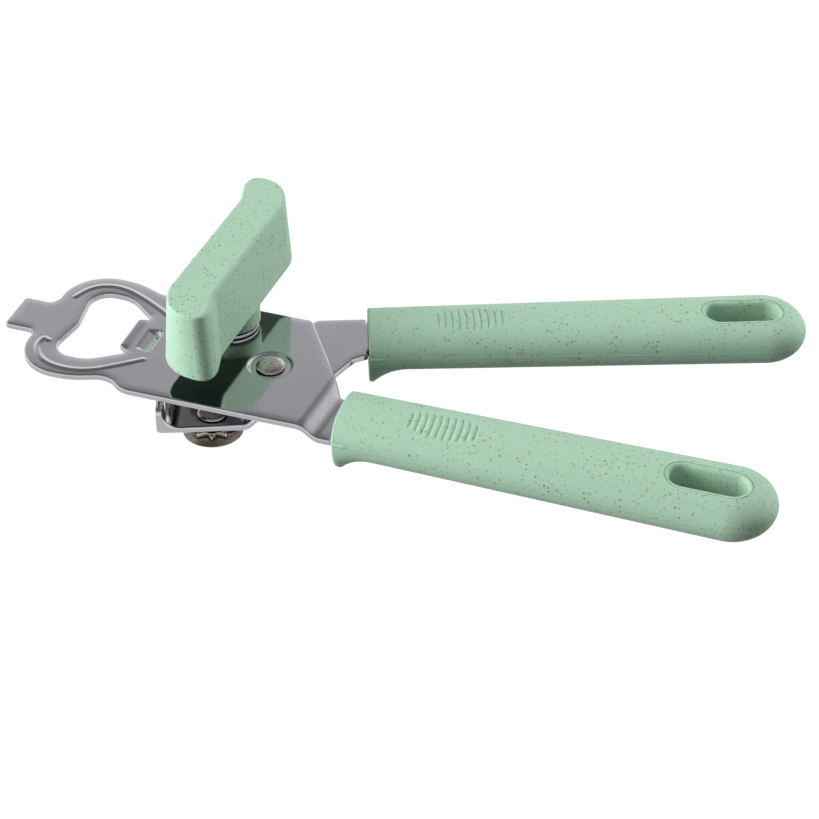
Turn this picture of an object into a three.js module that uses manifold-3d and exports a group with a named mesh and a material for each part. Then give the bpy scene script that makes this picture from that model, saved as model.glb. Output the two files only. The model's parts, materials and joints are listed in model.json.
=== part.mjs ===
// Manual can opener: two crossing stamped steel levers with moulded grips, a butterfly knob
// that turns a toothed feed wheel, and a cutter wheel carried by the rear lever.
// Millimetres and degrees, +Z up. The design frame has the lever pivot at x = y = 0 and the top
// of the front lever at z = 0. +X points to the grips. The finished model is moved so that its
// origin is the middle of the bottom of its bounding box.

import * as THREE from 'three';
import { mergeVertices } from 'three/addons/utils/BufferGeometryUtils.js';
import Module from 'manifold-3d';

const wasm = await Module();
wasm.setup();

// ---------------------------------------------------------------- driving dimensions

const partGap = 0.3;                 // between pieces that touch on the real opener
const runningGap = 0.06;             // round a shaft that turns in its bush or wheel
const curveSteps = 6;                // straight pieces in each rounded corner
const roundSegments = 32;            // sides of a round piece
const cutReach = 30;                 // how far a cutting tool runs past what it cuts

const frontLeverTurn = -18.8;        // angles of the levers seen from above, handles apart
const rearLeverTurn = 2.56;
const knobTurn = 88;                 // measured from the front lever's long axis

const plateThickness = 1.6;

const head = {                       // bottle opener end of the front lever
  axisY: 1.7, tipX: -73, tabHalfWidth: 6.4, tabRootX: -65.4, tabFillet: 1.6, tipFillet: 1.2,
  rootStep: 2.2, rootFillet: 1, ringLeftX: -64.1, ringHalfWidth: 22.4, ringCornerRadius: 11.5,
  ringRightX: -47.2, ringFillet: 6, neckX: -38, neckHalfWidth: 18.9, neckFillet: 2.5, shoulderX: -32.4,
};
const bottleOpening = {
  leftX: -56.8, halfHeight: 15.2, cornerRadius: 5.2, bulge: 2.3, topX: -46, topFillet: 6,
  rightX: -37.9, shoulderHalfHeight: 10.4, shoulderFillet: 0.8, notch: 1.4, notchFillet: 0.5,
  tongueReach: 1.8, tongueHalfWidth: 6, tongueFillet: 0.8,
};
const rib = {
  inset: 3.2, width: 1.9, height: 0.45, startX: -60.9, startDip: 7.4, bendRun: 2.6, bendDip: 2.6,
  crestRun: 7.4, farDip: 0.8, endX: -32, endHalfWidth: 9.6, steps: 24,
};
const frontPlate = {                 // middle of the front lever
  farY: 22.4, nearY: -21.6, slantStartX: 3.1, slantEndX: 20.6, slantEndY: -3.9, cornerFillet: 2,
  shoulderFillet: 3, slantEndFillet: 0.4,
};
const joggle = { start: 17.5, run: 3.8, drop: 3, turn: -4 };
const tang = { faceX: 25.2, tailLength: 58, tailHalfWidth: 6.4, tailFillet: 5 };
const frontTang = { axisY: -12.3, halfWidth: 8.8 };
const rearTang = { axisY: 15.3, halfWidth: 8.2 };

const rearPlate = {                  // rear lever, lying under the front lever
  farNotchX: 4, farNotchY: 13.6, farShoulderX: 12, farFillet: 3, eyeRadius: 12.4, eyeFillet: 5,
  slantTopX: 21.6, slantTopY: 5.6, slantEndX: 6.6, slantFillet: 4, armRootFillet: 2.5,
};
const arm = {                        // lowered arm that carries the cutter wheel
  nearY: -13.7, endNearY: -14.7, farY: -2.9, endX: -29.1, cornerFillet: 1.6, rampStart: 6.9,
  rampRun: 5.4, drop: 5.8, lipTopZ: -2.8,
  lipBend: [[4.8, -0.1], [2.7, 1.1], [1.6, 3]],      // inside of the bend: reach from the end, rise
};

const pivot = {
  seatRadius: 5.7, seatDepth: 0.7, seatWall: 1, headRadius: 3.75, headRise: 0.55, domeRise: 0.5,
  shankRadius: 2.5, washerRadius: 5.2, washerThickness: 0.7, buttonRadius: 4.4, buttonFlatRadius: 3.1,
  buttonHeight: 1.1, buttonEdge: 0.75,
  domeCurve: [[0.75, 0.6], [0.4, 0.92], [0, 1]],     // share of the head's radius, of the rise
};

const shaftX = -16.2;                // drive shaft on the front lever
const shaftY = 13.6;
const shaft = { radius: 3.2, squareHalf: 2.5, squareHeight: 14, squareStartZ: 2.2, squareSunk: 0.7 };
const bush = { radius: 5.2, noseRadius: 4.2 };
const thrustWasher = { radius: 5.2, thickness: 0.4 };
const feedWheel = {
  topZ: -9.6, thickness: 2.4, tipRadius: 13, toothDepth: 1.1, teeth: 24,
  collarRadius: 4.6, collarHeight: 0.9, endHeight: 0.25,
};
const knobWasher = { radius: 8.8, thickness: 0.8 };
const knob = {
  neckRadius: 8.2, neckHeight: 4.6, height: 19, halfLength: 33.6, halfWidth: 7.1, flare: 2,
  flareLength: 13, flareBend: 5.8, waistFillet: 9, flareFillet: 4, cornerFillet: 3.4,
  endInset: 6.2, endFillet: 4.6, backSlope: 6.4, backFillet: 5.2, draft: 1.4, neckOverlap: 0.6,
};

const cutter = {                     // cutter wheel and its stud, on the rear lever's arm
  x: -15, y: -8.9, bladeRadius: 8.1, starRadius: 6.4, starRootRadius: 4.7, starTeeth: 10,
  starHeight: 1.1, bladeHeight: 0.9, bevel: 1.2, rimHeight: 0.2, edgeHeight: 0.1, studRadius: 2.4,
  headRadius: 4.1, headFlatRadius: 3.3, headHeight: 0.8, headEdge: 0.55, spacerRadius: 4.4,
  spacerThickness: 0.5,
};

const grip = {
  halfWidthFront: 9.4, halfWidthTail: 11.5, halfThickness: 6.7, squareness: 2.35, sides: 28,
  frontLength: 109.6, rearLength: 115.2, faceX: 25.5, capRings: 5, stations: 14, lead: 3, lift: 0.6,
  frontAxisY: -12.9, rearAxisY: 14.4,
  guardDrop: 4.9, guardLand: 1.2, guardLength: 11, guardSweep: 2.4,
};
const hangSlot = { length: 19.4, width: 7.6, fromTail: 17.2, chamfer: 0.9, rimDepth: 1.3 };

// ---------------------------------------------------------------- levels, worked out from the above

const degree = Math.PI / 180;
const frontBottomZ = -plateThickness;
const rearTopZ = frontBottomZ - pivot.seatDepth - partGap;
const rearBottomZ = rearTopZ - plateThickness;
const armTopZ = rearTopZ - arm.drop;
const armBottomZ = armTopZ - plateThickness;
const frontTangTopZ = -joggle.drop;
const feedBottomZ = feedWheel.topZ - feedWheel.thickness;
const spacerTopZ = armBottomZ - partGap;
const starTopZ = spacerTopZ - cutter.spacerThickness - partGap;
const bladeTopZ = starTopZ - cutter.starHeight - partGap;
const knobNeckZ = partGap + knobWasher.thickness + partGap;
const knobBodyZ = knobNeckZ + knob.neckHeight;

// ---------------------------------------------------------------- solids

function solidOf(geometry) {
  const bare = geometry.clone();
  bare.deleteAttribute('normal');
  bare.deleteAttribute('uv');
  const merged = mergeVertices(bare, 1e-4);
  return new wasm.Manifold(new wasm.Mesh({
    numProp: 3,
    vertProperties: new Float32Array(merged.attributes.position.array),
    triVerts: new Uint32Array(merged.index.array),
  }));
}

function geometryOf(solid) {
  const mesh = solid.getMesh();
  const geometry = new THREE.BufferGeometry();
  geometry.setAttribute('position', new THREE.BufferAttribute(mesh.vertProperties, 3));
  geometry.setIndex(new THREE.BufferAttribute(mesh.triVerts, 1));
  geometry.computeVertexNormals();
  return geometry;
}

// A flat outline, or an outline with holes, made thick from one level up to another.
function prism(shape, lowZ, highZ) {
  const geometry = new THREE.ExtrudeGeometry(shape, {
    depth: highZ - lowZ, bevelEnabled: false, curveSegments: curveSteps,
  });
  return solidOf(geometry.translate(0, 0, lowZ));
}

function cylinder(radius, lowZ, highZ, segments = roundSegments) {
  const height = highZ - lowZ;
  const geometry = new THREE.CylinderGeometry(radius, radius, height, segments);
  return solidOf(geometry.rotateX(Math.PI / 2).translate(0, 0, lowZ + height / 2));
}

// What a drill of this radius takes out along the Z axis.
function hole(radius) {
  return cylinder(radius, -cutReach, cutReach);
}

// A turned piece: the profile is a list of [radius, z], from its lowest to its highest point.
function turned(profile, segments = roundSegments) {
  const points = profile.map(([radius, z]) => new THREE.Vector2(radius, z));
  return solidOf(new THREE.LatheGeometry(points, segments).rotateX(Math.PI / 2));
}

function washer(outerRadius, innerRadius, lowZ, highZ) {
  return turned([
    [innerRadius, lowZ], [outerRadius, lowZ], [outerRadius, highZ], [innerRadius, highZ],
    [innerRadius, lowZ],
  ]);
}

// Joins corners [x, y, fillet] into a closed outline with a tangent arc at each filleted corner.
function roundedOutline(corners) {
  const shape = new THREE.Shape();
  corners.forEach(([x, y, fillet], index) => {
    const before = corners[(index + corners.length - 1) % corners.length];
    const after = corners[(index + 1) % corners.length];
    const toBefore = new THREE.Vector2(before[0] - x, before[1] - y).normalize();
    const toAfter = new THREE.Vector2(after[0] - x, after[1] - y).normalize();
    const join = index === 0 ? 'moveTo' : 'lineTo';
    if (!fillet) {
      shape[join](x, y);
      return;
    }
    const halfAngle = Math.acos(THREE.MathUtils.clamp(toBefore.dot(toAfter), -1, 1)) / 2;
    const reach = fillet / Math.tan(halfAngle);
    const start = toBefore.clone().multiplyScalar(reach);
    const middle = toBefore.clone().add(toAfter).normalize();
    middle.multiplyScalar(fillet / Math.sin(halfAngle));
    const end = toAfter.clone().multiplyScalar(reach);
    const startAngle = Math.atan2(start.y - middle.y, start.x - middle.x);
    const endAngle = Math.atan2(end.y - middle.y, end.x - middle.x);
    const clockwise = toBefore.cross(toAfter) > 0;
    shape[join](x + start.x, y + start.y);
    shape.absarc(x + middle.x, y + middle.y, fillet, startAngle, endAngle, clockwise);
  });
  shape.closePath();
  return shape;
}

// A sheet with one ramp across it, which starts at start along the given direction.
function bentSheet(outline, topZ, { start, run, drop }, directionAngle) {
  const reach = 4 * tang.tailLength;
  const end = start + run;
  const profile = new THREE.Shape([
    new THREE.Vector2(-reach, topZ - plateThickness),
    new THREE.Vector2(start, topZ - plateThickness),
    new THREE.Vector2(end, topZ - drop - plateThickness),
    new THREE.Vector2(reach, topZ - drop - plateThickness),
    new THREE.Vector2(reach, topZ - drop),
    new THREE.Vector2(end, topZ - drop),
    new THREE.Vector2(start, topZ),
    new THREE.Vector2(-reach, topZ),
  ]);
  const strip = new THREE.ExtrudeGeometry(profile, { depth: 2 * reach, bevelEnabled: false });
  strip.translate(0, 0, -reach).rotateX(Math.PI / 2).rotateZ(directionAngle);
  return solidOf(strip).intersect(prism(outline, topZ - cutReach, topZ + cutReach));
}

// A low bead along a curve, half sunk in the sheet it stiffens.
function bead(points, width, height) {
  const section = new THREE.Shape([
    new THREE.Vector2(-height, -width / 2), new THREE.Vector2(height, -width / 2),
    new THREE.Vector2(height, width / 2), new THREE.Vector2(-height, width / 2),
  ]);
  const path = new THREE.CatmullRomCurve3(points.map(([x, y]) => new THREE.Vector3(x, y, 0)));
  return solidOf(new THREE.ExtrudeGeometry(section, {
    steps: rib.steps, extrudePath: path, bevelEnabled: false,
  }));
}

// ---------------------------------------------------------------- front lever

function tangCorners({ axisY, halfWidth }) {
  const tailX = tang.faceX + tang.tailLength;
  return [
    [tang.faceX, axisY - halfWidth],
    [tang.faceX, axisY - tang.tailHalfWidth],
    [tailX, axisY - tang.tailHalfWidth, tang.tailFillet],
    [tailX, axisY + tang.tailHalfWidth, tang.tailFillet],
    [tang.faceX, axisY + tang.tailHalfWidth],
    [tang.faceX, axisY + halfWidth],
  ];
}

function frontOutline() {
  const { axisY } = head;
  const headSide = (side, bodyY) => [
    [head.tipX, axisY + side * head.tabHalfWidth, head.tipFillet],
    [head.tabRootX, axisY + side * head.tabHalfWidth, head.tabFillet],
    [head.ringLeftX, axisY + side * (head.tabHalfWidth + head.rootStep), head.rootFillet],
    [head.ringLeftX, axisY + side * head.ringHalfWidth, head.ringCornerRadius],
    [head.ringRightX, axisY + side * head.ringHalfWidth, head.ringFillet],
    [head.neckX, axisY + side * head.neckHalfWidth, head.neckFillet],
    [head.shoulderX, bodyY, frontPlate.shoulderFillet],
  ];
  return roundedOutline([
    ...headSide(-1, frontPlate.nearY),
    ...tangCorners(frontTang),
    [frontPlate.slantEndX, frontPlate.slantEndY, frontPlate.slantEndFillet],
    [frontPlate.slantStartX, frontPlate.farY, frontPlate.cornerFillet],
    ...headSide(1, frontPlate.farY).reverse(),
  ]);
}

function bottleOutline() {
  const { axisY } = head;
  const opening = bottleOpening;
  const tongueX = opening.rightX - opening.tongueReach;
  const side = (sign) => [
    [opening.leftX + opening.bulge, axisY],
    [opening.leftX, axisY + sign * opening.halfHeight, opening.cornerRadius],
    [opening.topX, axisY + sign * opening.halfHeight, opening.topFillet],
    [opening.rightX, axisY + sign * opening.shoulderHalfHeight, opening.shoulderFillet],
    [opening.rightX, axisY + sign * (opening.tongueHalfWidth + opening.notch), opening.notchFillet],
    [tongueX, axisY + sign * opening.tongueHalfWidth, opening.tongueFillet],
  ];
  return roundedOutline([...side(-1), ...side(1).slice(1).reverse()]);
}

function ribPoints(side) {
  const outerY = head.ringHalfWidth - rib.inset;
  return [
    [rib.startX, head.axisY + side * (outerY - rib.startDip)],
    [rib.startX + rib.bendRun, head.axisY + side * (outerY - rib.bendDip)],
    [rib.startX + rib.crestRun, head.axisY + side * outerY],
    [head.ringRightX, head.axisY + side * (outerY - rib.farDip)],
    [head.neckX, head.axisY + side * (head.neckHalfWidth - rib.inset)],
    [rib.endX, head.axisY + side * rib.endHalfWidth],
  ];
}

function frontLever() {
  const outline = frontOutline();
  outline.holes.push(bottleOutline());
  const sheet = bentSheet(outline, 0, joggle, joggle.turn * degree);
  const seatFloor = -pivot.seatDepth;
  const seatWall = cylinder(
    pivot.seatRadius + pivot.seatWall, seatFloor - plateThickness, frontBottomZ,
  );
  return sheet
    .add(seatWall)
    .add(bead(ribPoints(1), rib.width, rib.height))
    .add(bead(ribPoints(-1), rib.width, rib.height))
    .subtract(cylinder(pivot.seatRadius, seatFloor, cutReach))
    .subtract(hole(pivot.shankRadius + runningGap))
    .subtract(hole(bush.noseRadius + partGap).translate([shaftX, shaftY, 0]));
}

// ---------------------------------------------------------------- rear lever

function rearOutline() {
  const { eyeRadius } = rearPlate;
  return roundedOutline([
    [arm.endX, arm.endNearY, arm.cornerFillet],
    [rearPlate.slantEndX, arm.nearY, rearPlate.slantFillet],
    [rearPlate.slantTopX, rearPlate.slantTopY, rearPlate.slantFillet],
    ...tangCorners(rearTang),
    [rearPlate.farShoulderX, rearTang.axisY + rearTang.halfWidth, rearPlate.farFillet],
    [rearPlate.farNotchX, rearPlate.farNotchY, rearPlate.farFillet],
    [-eyeRadius / 2, rearPlate.farNotchY, rearPlate.eyeFillet],
    [-eyeRadius, eyeRadius / 3, rearPlate.farFillet],
    [-eyeRadius, arm.farY, rearPlate.armRootFillet],
    [arm.endX, arm.farY, arm.cornerFillet],
  ]);
}

function rearLever() {
  const armAngle = Math.atan2(cutter.y, cutter.x);
  const ramp = { start: arm.rampStart, run: arm.rampRun, drop: arm.drop };
  const sheet = bentSheet(rearOutline(), rearTopZ, ramp, armAngle);
  const lip = new THREE.Shape([
    new THREE.Vector2(arm.endX, armBottomZ + plateThickness / 2),
    new THREE.Vector2(arm.endX + plateThickness, armBottomZ + plateThickness / 2),
    ...arm.lipBend.map(([reach, rise]) => new THREE.Vector2(arm.endX + reach, armTopZ + rise)),
    new THREE.Vector2(arm.endX + plateThickness, arm.lipTopZ),
    new THREE.Vector2(arm.endX, arm.lipTopZ),
  ]);
  const lipWidth = arm.farY - arm.nearY - 2 * arm.cornerFillet;
  const lipWall = new THREE.ExtrudeGeometry(lip, { depth: lipWidth, bevelEnabled: false });
  lipWall.rotateX(Math.PI / 2).translate(0, arm.farY - arm.cornerFillet, 0);
  return sheet
    .add(solidOf(lipWall))
    .subtract(hole(pivot.shankRadius + runningGap))
    .subtract(hole(cutter.studRadius + partGap).translate([cutter.x, cutter.y, 0]));
}

// ---------------------------------------------------------------- pivot

function pivotRivet() {
  const { headRadius, shankRadius, buttonRadius, domeRise } = pivot;
  const headZ = -pivot.seatDepth + partGap;
  const domeZ = headZ + pivot.headRise;
  const buttonTopZ = rearBottomZ - partGap - pivot.washerThickness - partGap;
  const buttonBottomZ = buttonTopZ - pivot.buttonHeight;
  return turned([
    [0, buttonBottomZ], [pivot.buttonFlatRadius, buttonBottomZ],
    [buttonRadius, buttonBottomZ + pivot.buttonEdge], [buttonRadius, buttonTopZ],
    [shankRadius, buttonTopZ], [shankRadius, headZ], [headRadius, headZ], [headRadius, domeZ],
    ...pivot.domeCurve.map(([radius, rise]) => [headRadius * radius, domeZ + domeRise * rise]),
  ]);
}

function pivotWasher() {
  const topZ = rearBottomZ - partGap;
  return washer(pivot.washerRadius, pivot.shankRadius + partGap, topZ - pivot.washerThickness, topZ);
}

// ---------------------------------------------------------------- knob and feed drive

// Plan of the knob, long axis along Y: a straight bar whose ends flare to opposite sides.
function knobOutline() {
  const { halfLength, halfWidth } = knob;
  const flaredX = halfWidth + knob.flare;
  const half = (sign) => [
    [sign * halfWidth, sign * (knob.flareLength - halfLength), knob.waistFillet],
    [sign * flaredX, sign * (knob.flareBend - halfLength), knob.flareFillet],
    [sign * flaredX, sign * -halfLength, knob.cornerFillet],
    [sign * (halfWidth - knob.endInset), sign * -halfLength, knob.endFillet],
    [sign * -halfWidth, sign * (knob.backSlope - halfLength), knob.backFillet],
  ];
  return roundedOutline([...half(1), ...half(-1)].reverse());
}

function knobBody() {
  const { height, draft, neckOverlap, halfWidth, halfLength } = knob;
  const block = new THREE.ExtrudeGeometry(knobOutline(), {
    depth: height, steps: 1, bevelEnabled: false, curveSegments: curveSteps,
  });
  const position = block.attributes.position;
  for (let index = 0; index < position.count; index += 1) {
    const share = position.getZ(index) / height;
    const across = 1 - (draft * share) / halfWidth;
    const along = 1 - (draft * share) / halfLength / 2;
    position.setX(index, position.getX(index) * across);
    position.setY(index, position.getY(index) * along);
  }
  const holeHalf = shaft.squareHalf + partGap;
  const holeTopZ = shaft.squareStartZ + shaft.squareHeight + partGap;
  const squareHole = new THREE.BoxGeometry(2 * holeHalf, 2 * holeHalf, holeTopZ);
  squareHole.rotateZ((90 - knobTurn) * degree).translate(0, 0, holeTopZ / 2);
  return solidOf(block.translate(0, 0, knobBodyZ))
    .add(cylinder(knob.neckRadius, knobNeckZ, knobBodyZ + neckOverlap))
    .subtract(solidOf(squareHole))
    .subtract(cylinder(shaft.radius + partGap, knobNeckZ - 1, shaft.squareStartZ + partGap));
}

function feedShaft() {
  const bottomZ = feedBottomZ - feedWheel.endHeight;
  const squareTopZ = shaft.squareStartZ + shaft.squareHeight;
  const squareBottomZ = shaft.squareStartZ - shaft.squareSunk;
  const square = new THREE.BoxGeometry(
    2 * shaft.squareHalf, 2 * shaft.squareHalf, squareTopZ - squareBottomZ,
  ).translate(0, 0, (squareTopZ + squareBottomZ) / 2);
  return cylinder(shaft.radius, bottomZ, shaft.squareStartZ).add(solidOf(square));
}

function shaftBush() {
  const boreRadius = shaft.radius + runningGap;
  const topZ = frontBottomZ - partGap;
  const bottomZ = feedWheel.topZ + partGap + thrustWasher.thickness + partGap;
  return turned([
    [boreRadius, bottomZ], [bush.radius, bottomZ], [bush.radius, topZ], [bush.noseRadius, topZ],
    [bush.noseRadius, 0], [boreRadius, 0], [boreRadius, bottomZ],
  ]);
}

// A wheel outline with pointed teeth.
function toothedOutline(tipRadius, rootRadius, teeth) {
  const shape = new THREE.Shape();
  for (let step = 0; step < 2 * teeth; step += 1) {
    const angle = (step * Math.PI) / teeth;
    const radius = step % 2 ? rootRadius : tipRadius;
    const join = step === 0 ? 'moveTo' : 'lineTo';
    shape[join](radius * Math.cos(angle), radius * Math.sin(angle));
  }
  shape.closePath();
  return shape;
}

function feedWheelBody() {
  const { tipRadius, toothDepth, teeth, topZ } = feedWheel;
  const bore = shaft.radius + partGap;
  const pocketTopZ = feedBottomZ + feedWheel.collarHeight + partGap;
  return prism(toothedOutline(tipRadius, tipRadius - toothDepth, teeth), feedBottomZ, topZ)
    .subtract(cylinder(bore, feedBottomZ - 1, topZ + 1))
    .subtract(cylinder(feedWheel.collarRadius + partGap, feedBottomZ - 1, pocketTopZ));
}

// ---------------------------------------------------------------- cutter wheel

function cutterBlade() {
  const { bladeRadius, starRadius, bladeHeight, rimHeight, edgeHeight, bevel } = cutter;
  const lowZ = bladeTopZ - bladeHeight;
  const blade = turned([
    [0, lowZ], [bladeRadius - bevel, lowZ], [bladeRadius, lowZ + edgeHeight],
    [bladeRadius, lowZ + edgeHeight + rimHeight], [starRadius, bladeTopZ], [0, bladeTopZ],
  ]);
  return blade.subtract(cylinder(cutter.studRadius + runningGap, lowZ - 1, bladeTopZ + 1));
}

function rimStar() {
  const { starRadius, starRootRadius, starTeeth, starHeight, studRadius } = cutter;
  return prism(toothedOutline(starRadius, starRootRadius, starTeeth), starTopZ - starHeight, starTopZ)
    .subtract(cylinder(studRadius + runningGap, starTopZ - starHeight - 1, starTopZ + 1));
}

function cutterStud() {
  const { studRadius, headRadius, headFlatRadius, headHeight, headEdge } = cutter;
  const headTopZ = bladeTopZ - cutter.bladeHeight - partGap;
  const headBottomZ = headTopZ - headHeight;
  const rivetedZ = armTopZ + partGap;
  return turned([
    [0, headBottomZ], [headFlatRadius, headBottomZ], [headRadius, headTopZ - headEdge / 2],
    [headRadius, headTopZ], [studRadius, headTopZ], [studRadius, rivetedZ], [headRadius, rivetedZ],
    [headFlatRadius, rivetedZ + headEdge], [0, rivetedZ + headHeight],
  ]);
}

// ---------------------------------------------------------------- grips

// How far the finger guard hangs below the plain grip, at a distance from the front face.
function guardDropAt(x) {
  const { guardDrop, guardLand, guardLength, guardSweep } = grip;
  const share = THREE.MathUtils.clamp((x - guardLand) / (guardLength - guardLand), 0, 1);
  return guardDrop * (1 - share) ** guardSweep;
}

// One grip along +X from its front face at x = 0, with its long axis at y = z = 0. The section
// is a rounded rectangle, the tail is a half round, and the underside sweeps down at the front.
function gripBody(length) {
  const { halfWidthFront, halfWidthTail, halfThickness, squareness, sides } = grip;
  const straight = length - halfWidthTail;
  const blank = new THREE.CapsuleGeometry(1, 1, grip.capRings, sides, grip.stations);
  blank.rotateY(Math.PI / sides).rotateZ(-Math.PI / 2);
  const position = blank.attributes.position;
  for (let index = 0; index < position.count; index += 1) {
    const raw = position.getX(index);
    const share = THREE.MathUtils.clamp(raw + 0.5, 0, 1);
    const capX = raw - (share - 0.5);
    const bodyX = -grip.lead + (straight + grip.lead) * share ** 2;
    const halfWidth = THREE.MathUtils.lerp(halfWidthFront, halfWidthTail, bodyX / straight);
    const ring = Math.hypot(position.getY(index), position.getZ(index)) || 1;
    const cosine = position.getY(index) / ring;
    const sine = position.getZ(index) / ring;
    const corner = (Math.abs(cosine) ** squareness + Math.abs(sine) ** squareness) ** (-1 / squareness);
    const depth = halfThickness + (sine < 0 ? guardDropAt(bodyX) : 0);
    const y = cosine * corner * halfWidth * ring;
    const z = sine * corner * depth * ring;
    position.setXYZ(index, bodyX + capX * halfWidthTail, y, z);
  }
  const frontCut = new THREE.BoxGeometry(2 * cutReach, 2 * cutReach, 2 * cutReach);
  frontCut.translate(-cutReach, 0, 0);
  return solidOf(blank).subtract(solidOf(frontCut));
}

function slotOutline(length, width) {
  const shape = new THREE.Shape();
  const centre = (length - width) / 2;
  shape.absarc(centre, 0, width / 2, -Math.PI / 2, Math.PI / 2, false);
  shape.absarc(-centre, 0, width / 2, Math.PI / 2, 1.5 * Math.PI, false);
  shape.closePath();
  return shape;
}

function completeGrip(length, tangY) {
  const slotX = length - hangSlot.fromTail;
  const slot = slotOutline(hangSlot.length, hangSlot.width);
  const wider = 2 * hangSlot.chamfer;
  const wideSlot = slotOutline(hangSlot.length + wider, hangSlot.width + wider);
  const rimZ = grip.halfThickness - hangSlot.rimDepth;
  const pocket = new THREE.BoxGeometry(
    2 * (tang.tailLength + partGap), 2 * (tang.tailHalfWidth + partGap), plateThickness + 2 * partGap,
  ).translate(0, tangY, -grip.lift);
  return gripBody(length)
    .subtract(prism(slot, -cutReach, cutReach).translate([slotX, 0, 0]))
    .subtract(prism(wideSlot, rimZ, cutReach).translate([slotX, 0, 0]))
    .subtract(prism(wideSlot, -cutReach, -rimZ).translate([slotX, 0, 0]))
    .subtract(solidOf(pocket));
}

// ---------------------------------------------------------------- materials

function finish(color, roughness, metalness) {
  return () => new THREE.MeshStandardMaterial({ color, roughness, metalness });
}
const chromedSteel = finish('#aeb0b6', 0.25, 1);
const wheelSteel = finish('#8d857a', 0.4, 1);
const plainSteel = finish('#6f7074', 0.45, 1);
const mintPlastic = finish('#a3cbb2', 0.5, 0);

// ---------------------------------------------------------------- assembly

function piece(name, solid, material) {
  const mesh = new THREE.Mesh(geometryOf(solid), material());
  mesh.name = name;
  return mesh;
}

function placed(object, x, y, z, turn) {
  object.position.set(x, y, z);
  object.rotation.z = turn * degree;
  return object;
}

const frontGripZ = frontTangTopZ - plateThickness / 2 + grip.lift;
const rearGripZ = rearTopZ - plateThickness / 2 + grip.lift;

const front = placed(new THREE.Group(), 0, 0, 0, frontLeverTurn);
const rear = placed(new THREE.Group(), 0, 0, 0, rearLeverTurn);
const drive = placed(new THREE.Group(), shaftX, shaftY, 0, 0);
const cutterAxis = placed(new THREE.Group(), cutter.x, cutter.y, 0, 0);
front.add(drive);
rear.add(cutterAxis);

const frontGrip = completeGrip(grip.frontLength, frontTang.axisY - grip.frontAxisY);
const rearGrip = completeGrip(grip.rearLength, rearTang.axisY - grip.rearAxisY);
const knobMesh = piece('knob', knobBody(), mintPlastic);
const collarTopZ = feedBottomZ + feedWheel.collarHeight;

front.add(
  piece('front_lever', frontLever(), chromedSteel),
  placed(piece('front_grip', frontGrip, mintPlastic), grip.faceX, grip.frontAxisY, frontGripZ, 0),
  piece('pivot_rivet', pivotRivet(), wheelSteel),
  piece('pivot_washer', pivotWasher(), chromedSteel),
);
rear.add(
  piece('rear_lever', rearLever(), chromedSteel),
  placed(piece('rear_grip', rearGrip, mintPlastic), grip.faceX, grip.rearAxisY, rearGripZ, 0),
);
drive.add(
  placed(knobMesh, 0, 0, 0, knobTurn - 90),
  piece('knob_washer', washer(
    knobWasher.radius, shaft.radius + partGap, partGap, partGap + knobWasher.thickness,
  ), chromedSteel),
  piece('feed_shaft', feedShaft(), plainSteel),
  piece('shaft_bush', shaftBush(), plainSteel),
  piece('thrust_washer', washer(
    thrustWasher.radius, shaft.radius + partGap, feedWheel.topZ + partGap,
    feedWheel.topZ + partGap + thrustWasher.thickness,
  ), chromedSteel),
  piece('feed_wheel', feedWheelBody(), wheelSteel),
  piece('feed_collar', washer(
    feedWheel.collarRadius, shaft.radius + partGap, feedBottomZ, collarTopZ,
  ), plainSteel),
);
cutterAxis.add(
  piece('cutter_blade', cutterBlade(), wheelSteel),
  piece('rim_star', rimStar(), chromedSteel),
  piece('cutter_stud', cutterStud(), wheelSteel),
  piece('cutter_spacer', washer(
    cutter.spacerRadius, cutter.studRadius + partGap, spacerTopZ - cutter.spacerThickness, spacerTopZ,
  ), chromedSteel),
);

const model = new THREE.Group();
model.add(front, rear);
model.updateMatrixWorld(true);
const bounds = new THREE.Box3().setFromObject(model, true);
const middle = bounds.getCenter(new THREE.Vector3());
model.position.set(-middle.x, -middle.y, -bounds.min.z);
model.updateMatrixWorld(true);

export default model;
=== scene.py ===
import json
import math

import bmesh
import bpy
import numpy as np
from mathutils.geometry import delaunay_2d_cdt
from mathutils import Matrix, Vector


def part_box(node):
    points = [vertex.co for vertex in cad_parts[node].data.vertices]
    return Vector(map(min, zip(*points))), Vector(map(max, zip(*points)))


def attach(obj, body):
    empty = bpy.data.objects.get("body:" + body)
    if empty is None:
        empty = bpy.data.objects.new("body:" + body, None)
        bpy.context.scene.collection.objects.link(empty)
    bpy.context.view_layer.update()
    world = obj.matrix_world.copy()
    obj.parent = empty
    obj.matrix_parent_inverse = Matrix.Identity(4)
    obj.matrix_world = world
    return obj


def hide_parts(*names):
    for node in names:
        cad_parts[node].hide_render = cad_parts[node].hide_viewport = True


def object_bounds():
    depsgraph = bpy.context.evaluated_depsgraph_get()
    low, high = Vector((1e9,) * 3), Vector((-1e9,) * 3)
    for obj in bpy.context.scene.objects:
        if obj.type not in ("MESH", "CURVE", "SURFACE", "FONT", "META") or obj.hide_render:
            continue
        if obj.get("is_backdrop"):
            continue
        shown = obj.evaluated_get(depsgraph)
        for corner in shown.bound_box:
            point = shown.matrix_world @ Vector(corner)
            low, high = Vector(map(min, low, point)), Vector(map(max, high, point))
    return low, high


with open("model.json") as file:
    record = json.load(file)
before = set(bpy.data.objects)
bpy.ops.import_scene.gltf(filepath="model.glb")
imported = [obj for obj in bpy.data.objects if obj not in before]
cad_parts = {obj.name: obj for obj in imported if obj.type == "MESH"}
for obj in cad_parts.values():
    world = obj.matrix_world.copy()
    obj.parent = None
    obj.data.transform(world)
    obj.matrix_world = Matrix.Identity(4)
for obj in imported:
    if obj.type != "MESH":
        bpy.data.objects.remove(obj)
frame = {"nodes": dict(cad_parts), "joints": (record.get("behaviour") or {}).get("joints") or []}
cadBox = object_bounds()
print("frame loaded")

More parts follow.
